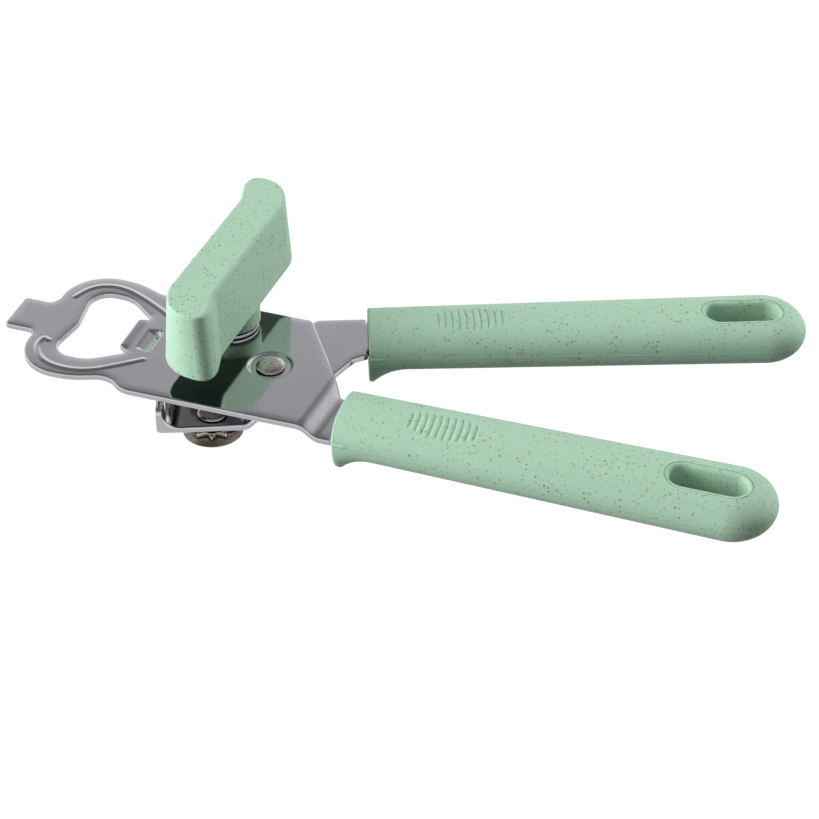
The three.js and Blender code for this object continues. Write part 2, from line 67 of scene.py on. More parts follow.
# Shapes are worked out in millimetres, each in its lever's own plan, then put in the frame in metres.

mm = 0.001
gap = 0.3  # clearance the design leaves between touching pieces
jointAt = {joint["name"]: np.array(joint["pos_m"]) / mm for joint in frame["joints"]}
pivotAt = jointAt["lever_pivot"][:2]
shaftAt = jointAt["knob_turn"][:2]
cutterAt = jointAt["cutter_spin"][:2]


def lowest(node):
    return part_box(node)[0].z / mm


def highest(node):
    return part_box(node)[1].z / mm


def roundedPath(corners, spacing=0.4, closed=True):
    # corners (x, y, fillet): each becomes an arc tangent to its two sides, and sides are cut in even steps
    spots = np.array([corner[:2] for corner in corners], float)
    fillets = np.array([corner[2] if len(corner) > 2 else 0.0 for corner in corners])
    toBefore = np.roll(spots, 1, 0) - spots
    toAfter = np.roll(spots, -1, 0) - spots
    toBefore /= np.linalg.norm(toBefore, axis=1)[:, None]
    toAfter /= np.linalg.norm(toAfter, axis=1)[:, None]
    halfAngle = np.arccos(np.clip((toBefore * toAfter).sum(1), -1, 1)) / 2
    middle = toBefore + toAfter
    middle /= np.maximum(np.linalg.norm(middle, axis=1), 1e-9)[:, None]
    reach = (fillets / np.tan(halfAngle))[:, None]
    centres = spots + middle * (fillets / np.sin(halfAngle))[:, None]
    starts, ends = spots + toBefore * reach, spots + toAfter * reach
    runs = []
    for i in range(len(spots)):
        runs.append(spots[i:i + 1])
        if fillets[i] > 0:
            fromCentre, toEnd = starts[i] - centres[i], ends[i] - centres[i]
            first = math.atan2(fromCentre[1], fromCentre[0])
            sweep = (math.atan2(toEnd[1], toEnd[0]) - first + math.pi) % (2 * math.pi) - math.pi
            steps = max(3, math.ceil(abs(sweep) * max(fillets[i] / spacing, 6)))
            angles = first + sweep * np.linspace(0, 1, steps + 1)
            runs[-1] = centres[i] + fillets[i] * np.c_[np.cos(angles), np.sin(angles)]
        if closed or i < len(spots) - 1:
            side = starts[(i + 1) % len(spots)] - ends[i]
            steps = max(1, math.ceil(np.linalg.norm(side) / spacing))
            runs.append(ends[i] + side * (np.arange(1, steps) / steps)[:, None])
    path = np.concatenate(runs)
    apart = np.linalg.norm(path - np.roll(path, 1, 0), axis=1) > 1e-3
    return path[apart] if closed else path[np.r_[True, apart[1:]]]


def circle(radius, centre=(0, 0), count=96):
    angles = np.arange(count) * 2 * math.pi / count
    return np.c_[centre[0] + radius * np.cos(angles), centre[1] + radius * np.sin(angles)]


def slotPath(length, width, count=40):
    # two straight sides joined by half circles, counter-clockwise
    turn = np.linspace(-math.pi / 2, math.pi / 2, count)
    cap = width / 2 * np.c_[np.cos(turn), np.sin(turn)]
    middle = (length - width) / 2
    side = np.linspace(middle, -middle, count)[1:-1]
    top = np.c_[side, np.full(len(side), width / 2)]
    return np.concatenate([cap + [middle, 0], top, -cap - [middle, 0], -top])


def clockwise(loop):
    return loop[::-1]


def outwards(loop):
    # unit normal at each point, from the chord between its two neighbours; away from what lies to the left
    chord = np.roll(loop, -1, 0) - np.roll(loop, 1, 0)
    return np.c_[chord[:, 1], -chord[:, 0]] / np.linalg.norm(chord, axis=1)[:, None]


def insideOf(spots, loops):
    # even-odd rule: counts the outline sides to the right of each point
    crossings = np.zeros(len(spots), int)
    for loop in loops:
        ahead = np.roll(loop, -1, 0)
        slope = (ahead[:, 0] - loop[:, 0]) / (ahead[:, 1] - loop[:, 1] + 1e-12)
        for block in np.array_split(np.arange(len(spots)), len(spots) // 3000 + 1):
            x, y = spots[block, :1], spots[block, 1:]
            spans = (loop[:, 1] > y) != (ahead[:, 1] > y)
            crossings[block] += (spans & (x < loop[:, 0] + (y - loop[:, 1]) * slope)).sum(1)
    return crossings % 2 == 1


def distanceTo(spots, others):
    # distance from each point to the nearest of the others
    blocks = np.array_split(spots, len(spots) // 1500 + 1)
    return np.concatenate([
        np.sqrt(((block[:, None] - others[None]) ** 2).sum(2).min(1)) for block in blocks
    ])


def gridOf(columns, rows):
    x, y = np.meshgrid(columns, rows)
    return np.c_[x.ravel(), y.ravel()]


def infillOf(loops, spacing, clear, patches=()):
    # even staggered grid inside the outlines, with finer patches (points, room around them) in its place
    low, high = loops[0].min(0), loops[0].max(0)
    x, y = np.meshgrid(np.arange(low[0], high[0], spacing), np.arange(low[1], high[1], spacing))
    x[1::2] += spacing / 2
    spots = np.c_[x.ravel(), y.ravel()]
    for patch, room in patches:
        spots = spots[distanceTo(spots, patch) > room]
    spots = np.concatenate([spots] + [patch for patch, room in patches])
    spots = spots[insideOf(spots, loops)]
    return spots[distanceTo(spots, np.concatenate(loops)) > clear]


def edgeOf(thickness, topRadius, bottomRadius, steps=5, support=0.14):
    # (inset, depth) of the rounded edge from the flat of the top face, over both corners, to the bottom
    turn = np.linspace(0, math.pi / 2, steps + 1)
    top = topRadius * np.c_[1 - np.sin(turn), 1 - np.cos(turn)]
    bottom = bottomRadius * np.c_[1 - np.cos(turn), np.sin(turn) - 1] + [0, thickness]
    flat = max(topRadius, bottomRadius) + support
    return np.concatenate([[[flat, 0]], top, bottom, [[flat, thickness]]])


def facesBetween(index):
    # four-sided faces from each row of points to the next, the rows being closed
    ahead = np.roll(index, -1, 1)
    return np.stack([index[:-1], ahead[:-1], ahead[1:], index[1:]], -1).reshape(-1, 4)


def sheetSurface(loops, edge, infill, place):
    # the edge's profile is carried along every outline, and both faces are filled with triangles;
    # place turns (x, y, depth below the top face) into points in space
    vertices, quads, flats, topRow, bottomRow, sides = [], [], [], [], [], []
    first, corner = 0, 0
    inset, depth = edge.T
    for loop in loops:
        count = len(loop)
        spots = loop[None] - outwards(loop)[None] * inset[:, None, None]
        vertices.append(place(spots[..., 0].ravel(), spots[..., 1].ravel(), np.repeat(depth, count)))
        index = first + np.arange(len(edge) * count).reshape(len(edge), count)
        quads.append(facesBetween(index)[:, ::-1])
        flats.append(spots[0])
        topRow.append(index[0])
        bottomRow.append(index[-1])
        here = corner + np.arange(count)
        sides.append(np.c_[here, np.roll(here, -1)])
        first, corner = first + index.size, corner + count
    for rows, level in ((topRow, depth[0]), (bottomRow, depth[-1])):
        vertices.append(place(infill[:, 0], infill[:, 1], np.full(len(infill), level)))
        rows.append(first + np.arange(len(infill)))
        first += len(infill)
    flat = np.concatenate(flats + [infill])
    found = delaunay_2d_cdt(flat.tolist(), np.concatenate(sides).tolist(), [], 0, 1e-6)
    origin = np.array([came[0] for came in found[3]])
    triangles = origin[np.array(found[2])]
    triangles = triangles[insideOf(flat[triangles].mean(1), flats)]
    a, b, c = flat[triangles].transpose(1, 0, 2)
    area = np.abs((b - a)[:, 0] * (c - a)[:, 1] - (b - a)[:, 1] * (c - a)[:, 0]) / 2
    triangles = triangles[area > 1e-7]  # none of the flat ones that lie on a straight side
    top = np.concatenate(topRow)[triangles]
    bottom = np.concatenate(bottomRow)[triangles[:, ::-1]]
    return np.concatenate(vertices), np.concatenate(quads).tolist() + top.tolist() + bottom.tolist()


def turnedSurface(corners, segments=96, spacing=0.35):
    # a profile of (radius, z, fillet) corners carried round the Z axis; one on the axis closes as a pole
    onAxis = corners[0][0] == 0
    profile = roundedPath(corners, spacing, closed=not onAxis)
    angles = np.arange(segments) * 2 * math.pi / segments
    radius, z = profile[:, :1], profile[:, 1:]
    rings = np.stack([radius * np.cos(angles), radius * np.sin(angles), z + 0 * angles], -1)
    index = np.arange(rings.shape[0] * segments).reshape(-1, segments)
    if not onAxis:
        index = np.concatenate([index, index[:1]])
    return rings.reshape(-1, 3), facesBetween(index).tolist()


def moved(vertices, at, turn=0.0, lift=0.0):
    # turned about Z by some degrees, then put at a point of the plan and a height
    c, s = math.cos(math.radians(turn)), math.sin(math.radians(turn))
    x, y, z = vertices.T
    return np.c_[at[0] + c * x - s * y, at[1] + s * x + c * y, z + lift]


def placed(name, data):
    thing = bpy.data.objects.new(name, data)
    bpy.context.scene.collection.objects.link(thing)
    return thing


def smoothed(mesh, sharpAngle):
    mesh.shade_smooth()
    mesh.set_sharp_from_angle(angle=math.radians(sharpAngle))


def newPiece(name, vertices, faces, sharpAngle=38):
    mesh = bpy.data.meshes.new(name)
    mesh.from_pydata((vertices * mm).tolist(), [], faces)
    work = bmesh.new()
    work.from_mesh(mesh)
    bmesh.ops.remove_doubles(work, verts=work.verts, dist=2e-7)
    bmesh.ops.recalc_face_normals(work, faces=work.faces)
    work.to_mesh(mesh)
    work.free()
    smoothed(mesh, sharpAngle)
    return placed(name, mesh)


def cutWith(piece, tools, how="DIFFERENCE", sharpAngle=38):
    for tool in tools:
        step = piece.modifiers.new(how.lower(), "BOOLEAN")
        step.operation, step.object, step.solver = how, tool, "EXACT"
    whole = piece.evaluated_get(bpy.context.evaluated_depsgraph_get())
    mesh = bpy.data.meshes.new_from_object(whole)
    piece.modifiers.clear()
    piece.data = mesh
    smoothed(mesh, sharpAngle)
    for tool in tools:
        bpy.data.objects.remove(tool)
    return piece


def finished(piece, body, node, material, slot):
    piece.data.materials.clear()
    piece.data.materials.append(material)
    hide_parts(node)
    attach(piece, body)
    return piece


def softRamp(run, start, end, drop, soft=0.8):
    # straight slope between two bends, each bend a short parabola
    def bent(t):
        return np.where(t < -soft, 0, np.where(t > soft, t, (t + soft) ** 2 / (4 * soft)))
    return drop / (end - start) * (bent(run - start) - bent(run - end))


def smoothStep(t, low, high):
    share = np.clip((t - low) / (high - low), 0, 1)
    return share * share * (3 - 2 * share)


def smoothCurve(points, steps=24):
    # a Catmull-Rom curve through the points: each stretch is the cubic of its two ends and their neighbours
    ends = np.array([2 * np.array(points[0]) - points[1], *points, 2 * np.array(points[-1]) - points[-2]])
    a, b, c, d = ends[:-3], ends[1:-2], ends[2:-1], ends[3:]
    t = (np.arange(steps) / steps)[:, None, None]
    curve = b + t / 2 * (c - a + t * (2 * a - 5 * b + 4 * c - d + t * (3 * (b - c) + d - a)))
    return np.concatenate([curve.transpose(1, 0, 2).reshape(-1, 2), ends[-2:-1]])


def nodeOf(tree, kind, **values):
    node = tree.nodes.new(kind)
    for key, value in values.items():
        setattr(node, key, value)
    return node


def feed(tree, node, inputs):
    # each input is a socket to link or a value to set
    for key, value in inputs.items():
        if isinstance(value, bpy.types.NodeSocket):
            tree.links.new(value, node.inputs[key])
        else:
            node.inputs[key].default_value = value
    return node


def sums(tree, operation, first, second=0.0):
    node = feed(tree, nodeOf(tree, "ShaderNodeMath", operation=operation), {0: first, 1: second})
    return node.outputs[0]


def ranged(tree, value, fromLow, fromHigh, toLow, toHigh, smooth=False):
    kind = "SMOOTHSTEP" if smooth else "LINEAR"
    node = nodeOf(tree, "ShaderNodeMapRange", interpolation_type=kind)
    feed(tree, node, {0: value, 1: fromLow, 2: fromHigh, 3: toLow, 4: toHigh})
    return node.outputs[0]


def noiseOf(tree, place, scale, detail=3.0, roughness=0.55):
    node = nodeOf(tree, "ShaderNodeTexNoise")
    feed(tree, node, {"Vector": place, "Scale": scale, "Detail": detail, "Roughness": roughness})
    return node.outputs[0]


def mixed(tree, share, first, second):
    node = nodeOf(tree, "ShaderNodeMix", data_type="RGBA")
    feed(tree, node, {0: share, 6: first, 7: second})
    return node.outputs[2]


def groupOf(name, inputs, outputs):
    # an input with no value takes a vector, and every other socket is a number
    group = bpy.data.node_groups.new(name, "ShaderNodeTree")
    for title, value in inputs.items():
        kind = "NodeSocketVector" if value is None else "NodeSocketFloat"
        socket = group.interface.new_socket(title, in_out="INPUT", socket_type=kind)
        if value is not None:
            socket.default_value = value
    for title in outputs:
        group.interface.new_socket(title, in_out="OUTPUT", socket_type="NodeSocketFloat")
    return group, group.nodes.new("NodeGroupInput"), group.nodes.new("NodeGroupOutput")


def makeFleckGroup():
    # one size of straw fleck: a Voronoi cell shows a fleck where its own random number is high enough
    group, given, result = groupOf("strawFleck", {
        "Vector": None, "Scale": 600.0, "Size": 0.2, "Amount": 0.5, "Softness": 0.04,
    }, ["Mask", "Tone"])
    cells = nodeOf(group, "ShaderNodeTexVoronoi", voronoi_dimensions="3D", feature="F1")
    feed(group, cells, {"Vector": given.outputs["Vector"], "Scale": given.outputs["Scale"]})
    split = feed(group, nodeOf(group, "ShaderNodeSeparateColor"), {0: cells.outputs["Color"]})
    rare = sums(group, "SUBTRACT", 1.0, given.outputs["Amount"])
    size = ranged(group, split.outputs[0], rare, 1.0, 0.0, given.outputs["Size"])
    outer = sums(group, "ADD", size, given.outputs["Softness"])
    shown = sums(group, "GREATER_THAN", split.outputs[0], rare)
    mask = ranged(group, cells.outputs["Distance"], size, outer, 1.0, 0.0, smooth=True)
    feed(group, result, {"Mask": sums(group, "MULTIPLY", mask, shown), "Tone": split.outputs[1]})
    return group


def makeGrainGroup():
    # fine mottle of satin plating: two noises, one for tiny pits and one for faint clouds
    group, given, result = groupOf("satinGrain", {
        "Vector": None, "Scale": 2600.0, "Cloud Scale": 90.0,
    }, ["Height", "Cloud"])
    pits = noiseOf(group, given.outputs["Vector"], given.outputs["Scale"], 2.0, 0.6)
    cloud = noiseOf(group, given.outputs["Vector"], given.outputs["Cloud Scale"], 3.0)
    feed(group, result, {"Height": pits, "Cloud": cloud})
    return group


def makeShadeAndWearGroup():
    # two masks: painted shade, a near-black film laid on faces that look up below a height, where the gap
    # between the plates lies in shade; and the sheared faces that stand upright
    group, given, result = groupOf("steelShadeAndWear", {"Vector": None, "Painted Shade Below": 0.0088}, ["Painted Shade", "Sheared"])
    height = feed(group, nodeOf(group, "ShaderNodeSeparateXYZ"), {0: given.outputs["Vector"]}).outputs[2]
    normal = nodeOf(group, "ShaderNodeNewGeometry").outputs["Normal"]
    facing = feed(group, nodeOf(group, "ShaderNodeSeparateXYZ"), {0: normal}).outputs[2]
    # painted shade: grows over 1.5 mm below the height and is kept to faces that look up
    depth = sums(group, "DIVIDE", sums(group, "SUBTRACT", given.outputs["Painted Shade Below"], height), 0.0015)
    low = ranged(group, depth, 0.0, 1.0, 0.0, 1.0, smooth=True)
    shadeShare = sums(group, "MULTIPLY", low, ranged(group, facing, 0.75, 0.95, 0.0, 1.0))
    steep = feed(group, nodeOf(group, "ShaderNodeMath", operation="ABSOLUTE"), {0: facing}).outputs[0]
    feed(group, result, {"Painted Shade": shadeShare, "Sheared": ranged(group, steep, 0.1, 0.35, 1.0, 0.0, smooth=True)})
    return group


fleckGroup = makeFleckGroup()
grainGroup = makeGrainGroup()
shadeAndWearGroup = makeShadeAndWearGroup()

plasticLook = {
    "base": (0.395, 0.610, 0.452, 1), "pale": (0.430, 0.645, 0.490, 1), "roughness": 0.5,
    "layers": [  # scale, size, amount, softness, strength, two colours
        (950, 0.24, 0.50, 0.16, 0.72, (0.10, 0.15, 0.10, 1), (0.24, 0.15, 0.08, 1)),
        (760, 0.24, 0.55, 0.20, 0.55, (0.40, 0.25, 0.12, 1), (0.30, 0.27, 0.14, 1)),
        (1500, 0.26, 0.70, 0.18, 0.42, (0.17, 0.27, 0.19, 1), (0.40, 0.33, 0.20, 1)),
    ],
}


def makePlastic():
    material = bpy.data.materials.new("mintStrawPlastic")
    material.use_nodes = True
    tree = material.node_tree
    shader = tree.nodes["Principled BSDF"]
    place = nodeOf(tree, "ShaderNodeTexCoord").outputs["Object"]
    wobble = nodeOf(tree, "ShaderNodeTexNoise")
    feed(tree, wobble, {"Vector": place, "Scale": 2100.0, "Detail": 1.5})
    push = nodeOf(tree, "ShaderNodeVectorMath", operation="MULTIPLY_ADD")
    feed(tree, push, {0: wobble.outputs["Color"], 1: (0.0007, 0.0007, 0.0007), 2: place})
    clump = ranged(tree, noiseOf(tree, place, 190.0, 2.0), 0.36, 0.6, 0.35, 1.0)
    colour = mixed(tree, noiseOf(tree, place, 55.0), plasticLook["base"], plasticLook["pale"])
    speckle = None
    for scale, size, amount, softness, strength, first, second in plasticLook["layers"]:
        fleck = nodeOf(tree, "ShaderNodeGroup", node_tree=fleckGroup)
        feed(tree, fleck, {
            "Vector": push.outputs[0], "Scale": scale, "Size": size, "Amount": amount, "Softness": softness,
        })
        tone = mixed(tree, fleck.outputs["Tone"], first, second)
        share = sums(tree, "MULTIPLY", sums(tree, "MULTIPLY", fleck.outputs["Mask"], strength), clump)
        colour = mixed(tree, share, colour, tone)
        speckle = share if speckle is None else sums(tree, "MAXIMUM", speckle, share)
    skin = noiseOf(tree, place, 1500.0, 2.0)
    rough = sums(tree, "ADD", ranged(tree, skin, 0.3, 0.7, -0.04, 0.05), plasticLook["roughness"])
    height = sums(tree, "SUBTRACT", sums(tree, "MULTIPLY", skin, 0.5), speckle)
    bump = nodeOf(tree, "ShaderNodeBump")
    feed(tree, bump, {"Height": height, "Strength": 0.35, "Distance": 0.00003})
    feed(tree, shader, {
        "Base Color": colour, "Roughness": sums(tree, "ADD", rough, sums(tree, "MULTIPLY", speckle, 0.12)),
        "Normal": bump.outputs[0], "Specular IOR Level": 0.28,
    })
    return material


def makeMetal(name, base, dark, roughness, grain, shadedBelow=False, sheared=None):
    # plated or turned steel: mottled colour, clouded gloss and a fine grain in the surface
    material = bpy.data.materials.new(name)
    material.use_nodes = True
    tree = material.node_tree
    shader = tree.nodes["Principled BSDF"]
    place = nodeOf(tree, "ShaderNodeTexCoord").outputs["Object"]
    satin = nodeOf(tree, "ShaderNodeGroup", node_tree=grainGroup)
    feed(tree, satin, {"Vector": place})
    mottle = ranged(tree, satin.outputs["Height"], 0.38, 0.62, 0.0, 1.0, smooth=True)
    clouded = ranged(tree, satin.outputs["Cloud"], 0.3, 0.7, -0.25, 0.25)
    share = sums(tree, "ADD", mottle, clouded)
    colour = mixed(tree, ranged(tree, share, 0.0, 1.0, 0.0, 1.0), dark, base)
    rough = ranged(tree, share, 0.0, 1.0, roughness + grain, roughness)
    # painted shade: faces that look up below the front lever's height are mixed towards near-black, standing
    # in for the shade of the gap between the plates
    if shadedBelow:
        shadeAndWear = feed(tree, nodeOf(tree, "ShaderNodeGroup", node_tree=shadeAndWearGroup), {
            "Vector": place, "Painted Shade Below": paintedShade["below"],
        })
        shadeShare = sums(tree, "MULTIPLY", shadeAndWear.outputs["Painted Shade"], paintedShade["strength"])
        colour = mixed(tree, shadeShare, colour, paintedShade["colour"])
    if sheared:
        colour = mixed(tree, shadeAndWear.outputs["Sheared"], colour, sheared)
        rough = sums(tree, "ADD", rough, sums(tree, "MULTIPLY", shadeAndWear.outputs["Sheared"], 0.12))
    bump = nodeOf(tree, "ShaderNodeBump")
    feed(tree, bump, {"Height": satin.outputs["Height"], "Strength": 0.5, "Distance": 0.000006})
    feed(tree, shader, {
        "Base Color": colour, "Roughness": rough, "Normal": bump.outputs[0], "Metallic": 1.0,
    })
    return material


mintPlastic = makePlastic()
# painted shade: the near-black colour, its strength and the height below which it darkens the upward faces of
# the plates, rivet and stud
paintedShade = {"below": 0.0088, "strength": 0.85, "colour": (0.045, 0.05, 0.045, 1)}
plateSteel = makeMetal("satinPlate", (0.66, 0.66, 0.69, 1), (0.57, 0.57, 0.60, 1), 0.055, 0.05, True,
                       sheared=(0.40, 0.41, 0.42, 1))
washerSteel = makeMetal("brightWasher", (0.80, 0.80, 0.82, 1), (0.66, 0.66, 0.69, 1), 0.09, 0.05)
rivetSteel = makeMetal("rivetSteel", (0.80, 0.72, 0.68, 1), (0.58, 0.51, 0.48, 1), 0.22, 0.08, True)
bladeSteel = makeMetal("bladeSteel", (0.46, 0.40, 0.35, 1), (0.30, 0.26, 0.22, 1), 0.32, 0.12)
starSteel = makeMetal("starSteel", (0.80, 0.75, 0.66, 1), (0.52, 0.47, 0.40, 1), 0.2, 0.12)
turnedSteel = makeMetal("turnedSteel", (0.42, 0.42, 0.43, 1), (0.26, 0.26, 0.27, 1), 0.24, 0.12)
print("materials made")


view = {"target": (0.82, -13.03, 14.585), "elevation": 37.0, "distance": 620.0, "lens": 109.01}


def makeCamera():
    tilt = math.radians(view["elevation"])
    eye = np.array(view["target"]) + view["distance"] * np.array([0, -math.cos(tilt), math.sin(tilt)])
    data = bpy.data.cameras.new("camera")
    data.lens, data.sensor_width = view["lens"], 36.0
    data.clip_start, data.clip_end = 0.01, 50.0
    camera = placed("camera", data)
    camera.location = eye * mm
    camera.rotation_euler = (math.pi / 2 - tilt, 0, 0)
    bpy.context.scene.camera = camera


studio = {
    "floorColour": (0.05, 0.05, 0.05, 1), "paper": 1.0, "fill": 0.01, "ambient": 0.30, "deep": 0.03,
    "sky": [(0.0, 1.0), (0.3, 1.0), (0.5, 0.66), (0.6, 0.45), (0.72, 0.22), (1.0, 0.15)],
}
lamps = {  # place, aimed at, size, watts, seen in reflections
    "left": ((-1.0, -0.19, 0.25), (-0.02, 0, 0.01), 0.9, 19.0, False),
    "right": ((0.76, 0.42, 0.44), (-0.02, 0, 0.01), 0.6, 6.6, False),
    "overhead": ((-0.1, 0.1, 1.1), (0, 0, 0), 0.9, 1.2, False),
}


def reflectedIn(tree, path):
    # 1 for a reflection seen directly, 0 once the light has been scattered by a dull surface
    direct = sums(tree, "LESS_THAN", path.outputs["Diffuse Depth"], 0.5)
    return sums(tree, "MULTIPLY", path.outputs["Is Glossy Ray"], direct)


def seenOf(tree):
    path = nodeOf(tree, "ShaderNodeLightPath")
    return sums(tree, "MAXIMUM", path.outputs["Is Camera Ray"], reflectedIn(tree, path))


def makeStudio():
    scene = bpy.context.scene
    scene.view_settings.view_transform = "Standard"
    plane = bpy.data.meshes.new("floor")
    plane.from_pydata([(-4, -4, 0), (4, -4, 0), (4, 4, 0), (-4, 4, 0)], [], [(0, 1, 2, 3)])
    paper = bpy.data.materials.new("palePaper")
    paper.use_nodes = True
    tree = paper.node_tree
    glow = ranged(tree, seenOf(tree), 0, 1, studio["fill"], studio["paper"])
    feed(tree, tree.nodes["Principled BSDF"], {
        "Base Color": studio["floorColour"], "Roughness": 0.9, "Specular IOR Level": 0.1,
        "Emission Color": (1, 1, 1, 1),
        "Emission Strength": glow,
    })
    plane.materials.append(paper)
    floor = placed("floor", plane)
    floor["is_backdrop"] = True
    world = bpy.data.worlds.new("softRoom")
    world.use_nodes = True
    scene.world = world
    tree = world.node_tree
    place = nodeOf(tree, "ShaderNodeTexCoord").outputs["Generated"]
    height = feed(tree, nodeOf(tree, "ShaderNodeSeparateXYZ"), {0: place}).outputs[2]
    ramp = nodeOf(tree, "ShaderNodeValToRGB")
    stops = ramp.color_ramp.elements
    while len(stops) < len(studio["sky"]):
        stops.new(0.5)
    for stop, (where, value) in zip(stops, studio["sky"]):
        stop.position, stop.color = where, (value, value, value * 1.01, 1)
    feed(tree, ramp, {0: height})
    path = nodeOf(tree, "ShaderNodeLightPath")
    fill = (studio["ambient"],) * 3 + (1,)
    shown = mixed(tree, path.outputs["Is Glossy Ray"], fill, (studio["deep"],) * 3 + (1,))
    shown = mixed(tree, reflectedIn(tree, path), shown, ramp.outputs[0])
    shown = mixed(tree, path.outputs["Is Camera Ray"], shown, (1, 1, 1, 1))
    feed(tree, tree.nodes["Background"], {"Color": shown, "Strength": 1.0})
    for name, (place, aim, size, watts, shown) in lamps.items():
        data = bpy.data.lights.new(name, "AREA")
        data.shape, data.size, data.energy = "DISK", size, watts
        lamp = placed(name, data)
        lamp.location = place
        lamp.visible_glossy = shown
        way = np.array(aim) - np.array(place)
        lamp.rotation_euler = (
            math.atan2(math.hypot(way[0], way[1]), -way[2]), 0, math.atan2(way[1], way[0]) - math.pi / 2,
        )


makeCamera()
makeStudio()
print("camera, floor and lights placed")


frontTurn, rearTurn = -18.8, 2.56  # angles of the two levers in the plan, degrees
thick = 1.6  # of both plates
sheet = {"topEdge": 0.47, "bottomEdge": 0.2, "grid": 0.75}
frontTop = lowest("knob_washer") - gap
rearTop = highest("rear_lever")
armTop = lowest("rear_lever") + thick
tail = {"length": 58, "halfWidth": 6.4, "fillet": 5, "root": 0.7}
sheetEdge = edgeOf(thick, sheet["topEdge"], sheet["bottomEdge"])


def tailCorners(faceX, axisY, halfWidth):
    # the strip of a lever that goes into its grip
    endX = faceX + tail["length"]
    return [
        (faceX, axisY - halfWidth, tail["root"]),
        (faceX, axisY - tail["halfWidth"], tail["root"]),
        (endX, axisY - tail["halfWidth"], tail["fillet"]),
        (endX, axisY + tail["halfWidth"], tail["fillet"]),
        (faceX, axisY + tail["halfWidth"], tail["root"]),
        (faceX, axisY + halfWidth, tail["root"]),
    ]


def bendPatch(loop, turn, start, end, soft=1.0, spacing=0.28):
    # rows of points square to a bend, close enough to make it round
    c, s = math.cos(turn), math.sin(turn)
    reach = np.abs(loop).max()
    run, across = np.meshgrid(np.arange(start - soft, end + soft, spacing), np.arange(-reach, reach, 1.1))
    return np.c_[(run * c - across * s).ravel(), (run * s + across * c).ravel()]


frontLever = {
    "axisY": 1.7, "tipX": -72.99, "tipFillet": 1.2, "tabHalf": 6.4, "tabRootX": -65.4, "tabFillet": 1.6,
    "rootStep": 2.2, "rootFillet": 1.0, "ringLeftX": -64.1, "ringHalf": 22.4, "ringCorner": 12.0,
    "ringRightX": -47.2, "ringFillet": 20, "neckX": -38, "neckFillet": 6, "neckHalf": 18.9,
    "shoulderFillet": 7, "shoulderX": -32.4, "farY": 22.4, "nearY": -21.6, "slantStart": (3.1, 22.4, 2.0),
    "slantEnd": (20.6, -3.9, 0.9), "tailX": 24.2, "tangY": -12.3, "tangHalf": 8.8,
    "bend": (17.5, 21.3), "bendTurn": -4.0, "drop": 3.0,
    "seatRadius": 5.75, "seatDepth": 0.7, "seatSlope": 0.55, "boreRadius": 2.56, "bushRadius": 4.5,
    "ribHeight": 0.27, "ribHalf": 1.05, "ribX": (-64, -28),
    "upperRib": [(-60.4, 12.3), (-58.9, 15.7), (-57.0, 18.1), (-54.5, 19.5), (-51.5, 20.0), (-47.6, 19.4),
                 (-42.9, 17.4), (-38.4, 15.0), (-34.0, 12.4)],
    "lowerRib": [(-58.6, -8.2), (-60.2, -7.9), (-60.3, -11.3), (-57.6, -15.4), (-53.3, -17.6),
                 (-47.5, -17.9), (-42.3, -16.2), (-37.1, -12.5), (-31.9, -8.3)],
    "pocketX": (-35.7, -32.4), "pocketWall": 0.7, "pocketY": (-3.9, 4.4), "pocketSoft": 0.5,
    "pocketDepth": 1.8, "bendSoft": 1.2, "rollDepth": 0.14, "rollWidth": 2.4,
    "openingStep": 0.35, "tipLift": 0.3, "liftX": (-40.0, -37.3), "liftEndX": -43, "liftRoom": 0.7,
}
opening = {
    "leftX": -56.8, "farHalf": 15.2, "nearHalf": 14.2, "corner": 5.2, "bulge": 2.3, "bulgeFillet": 9.0,
    "topX": -46, "topFillet": 9, "rightX": -37.9, "shoulderHalf": 8.6, "shoulderFillet": 0.5, "notch": 1.4,
    "notchFillet": 0.5, "tongueReach": 2.3, "tongueHalf": 6.0, "tongueFillet": 0.9,
}


def frontOutlines():
    f, o = frontLever, opening
    head = [  # x, distance from the axis, fillet
        (f["tipX"], f["tabHalf"], f["tipFillet"]), (f["tabRootX"], f["tabHalf"], f["tabFillet"]),
        (f["ringLeftX"], f["tabHalf"] + f["rootStep"], f["rootFillet"]),
        (f["ringLeftX"], f["ringHalf"], f["ringCorner"]), (f["ringRightX"], f["ringHalf"], f["ringFillet"]),
        (f["neckX"], f["neckHalf"], f["neckFillet"]),
    ]
    tongue = [
        (o["rightX"], o["shoulderHalf"], o["shoulderFillet"]),
        (o["rightX"], o["tongueHalf"] + o["notch"], o["notchFillet"]),
        (o["rightX"] - o["tongueReach"], o["tongueHalf"], o["tongueFillet"]),
    ]

    def aside(corners, side):
        return [(x, f["axisY"] + side * half, fillet) for x, half, fillet in corners]

    def headSide(side, bodyY):
        return aside(head, side) + [(f["shoulderX"], bodyY, f["shoulderFillet"])]

    def openingSide(side, half):
        return aside([(o["leftX"], half, o["corner"]), (o["topX"], half, o["topFillet"]), *tongue], side)
    outer = roundedPath([
        *headSide(-1, f["nearY"]), *tailCorners(f["tailX"], f["tangY"], f["tangHalf"]),
        f["slantEnd"], f["slantStart"], *headSide(1, f["farY"])[::-1],
    ])
    bulge = (o["leftX"] + o["bulge"], f["axisY"], o["bulgeFillet"])
    bottle = roundedPath([
        bulge, *openingSide(-1, o["nearHalf"]), *openingSide(1, o["farHalf"])[::-1],
    ], f["openingStep"])
    shaftSpot = moved(np.array([[*(shaftAt - pivotAt), 0]]), (0, 0), -frontTurn)[0, :2]
    holes = [bottle, circle(f["boreRadius"]), circle(f["bushRadius"], shaftSpot)]
    return [outer] + [clockwise(hole) for hole in holes]


def rolledEdge(spots, loops, depth, width):
    # the blank's rim falls away as the square of the distance inside the width
    away = distanceTo(spots, np.concatenate(loops))
    return depth * np.clip(1 - away / width, 0, 1) ** 2


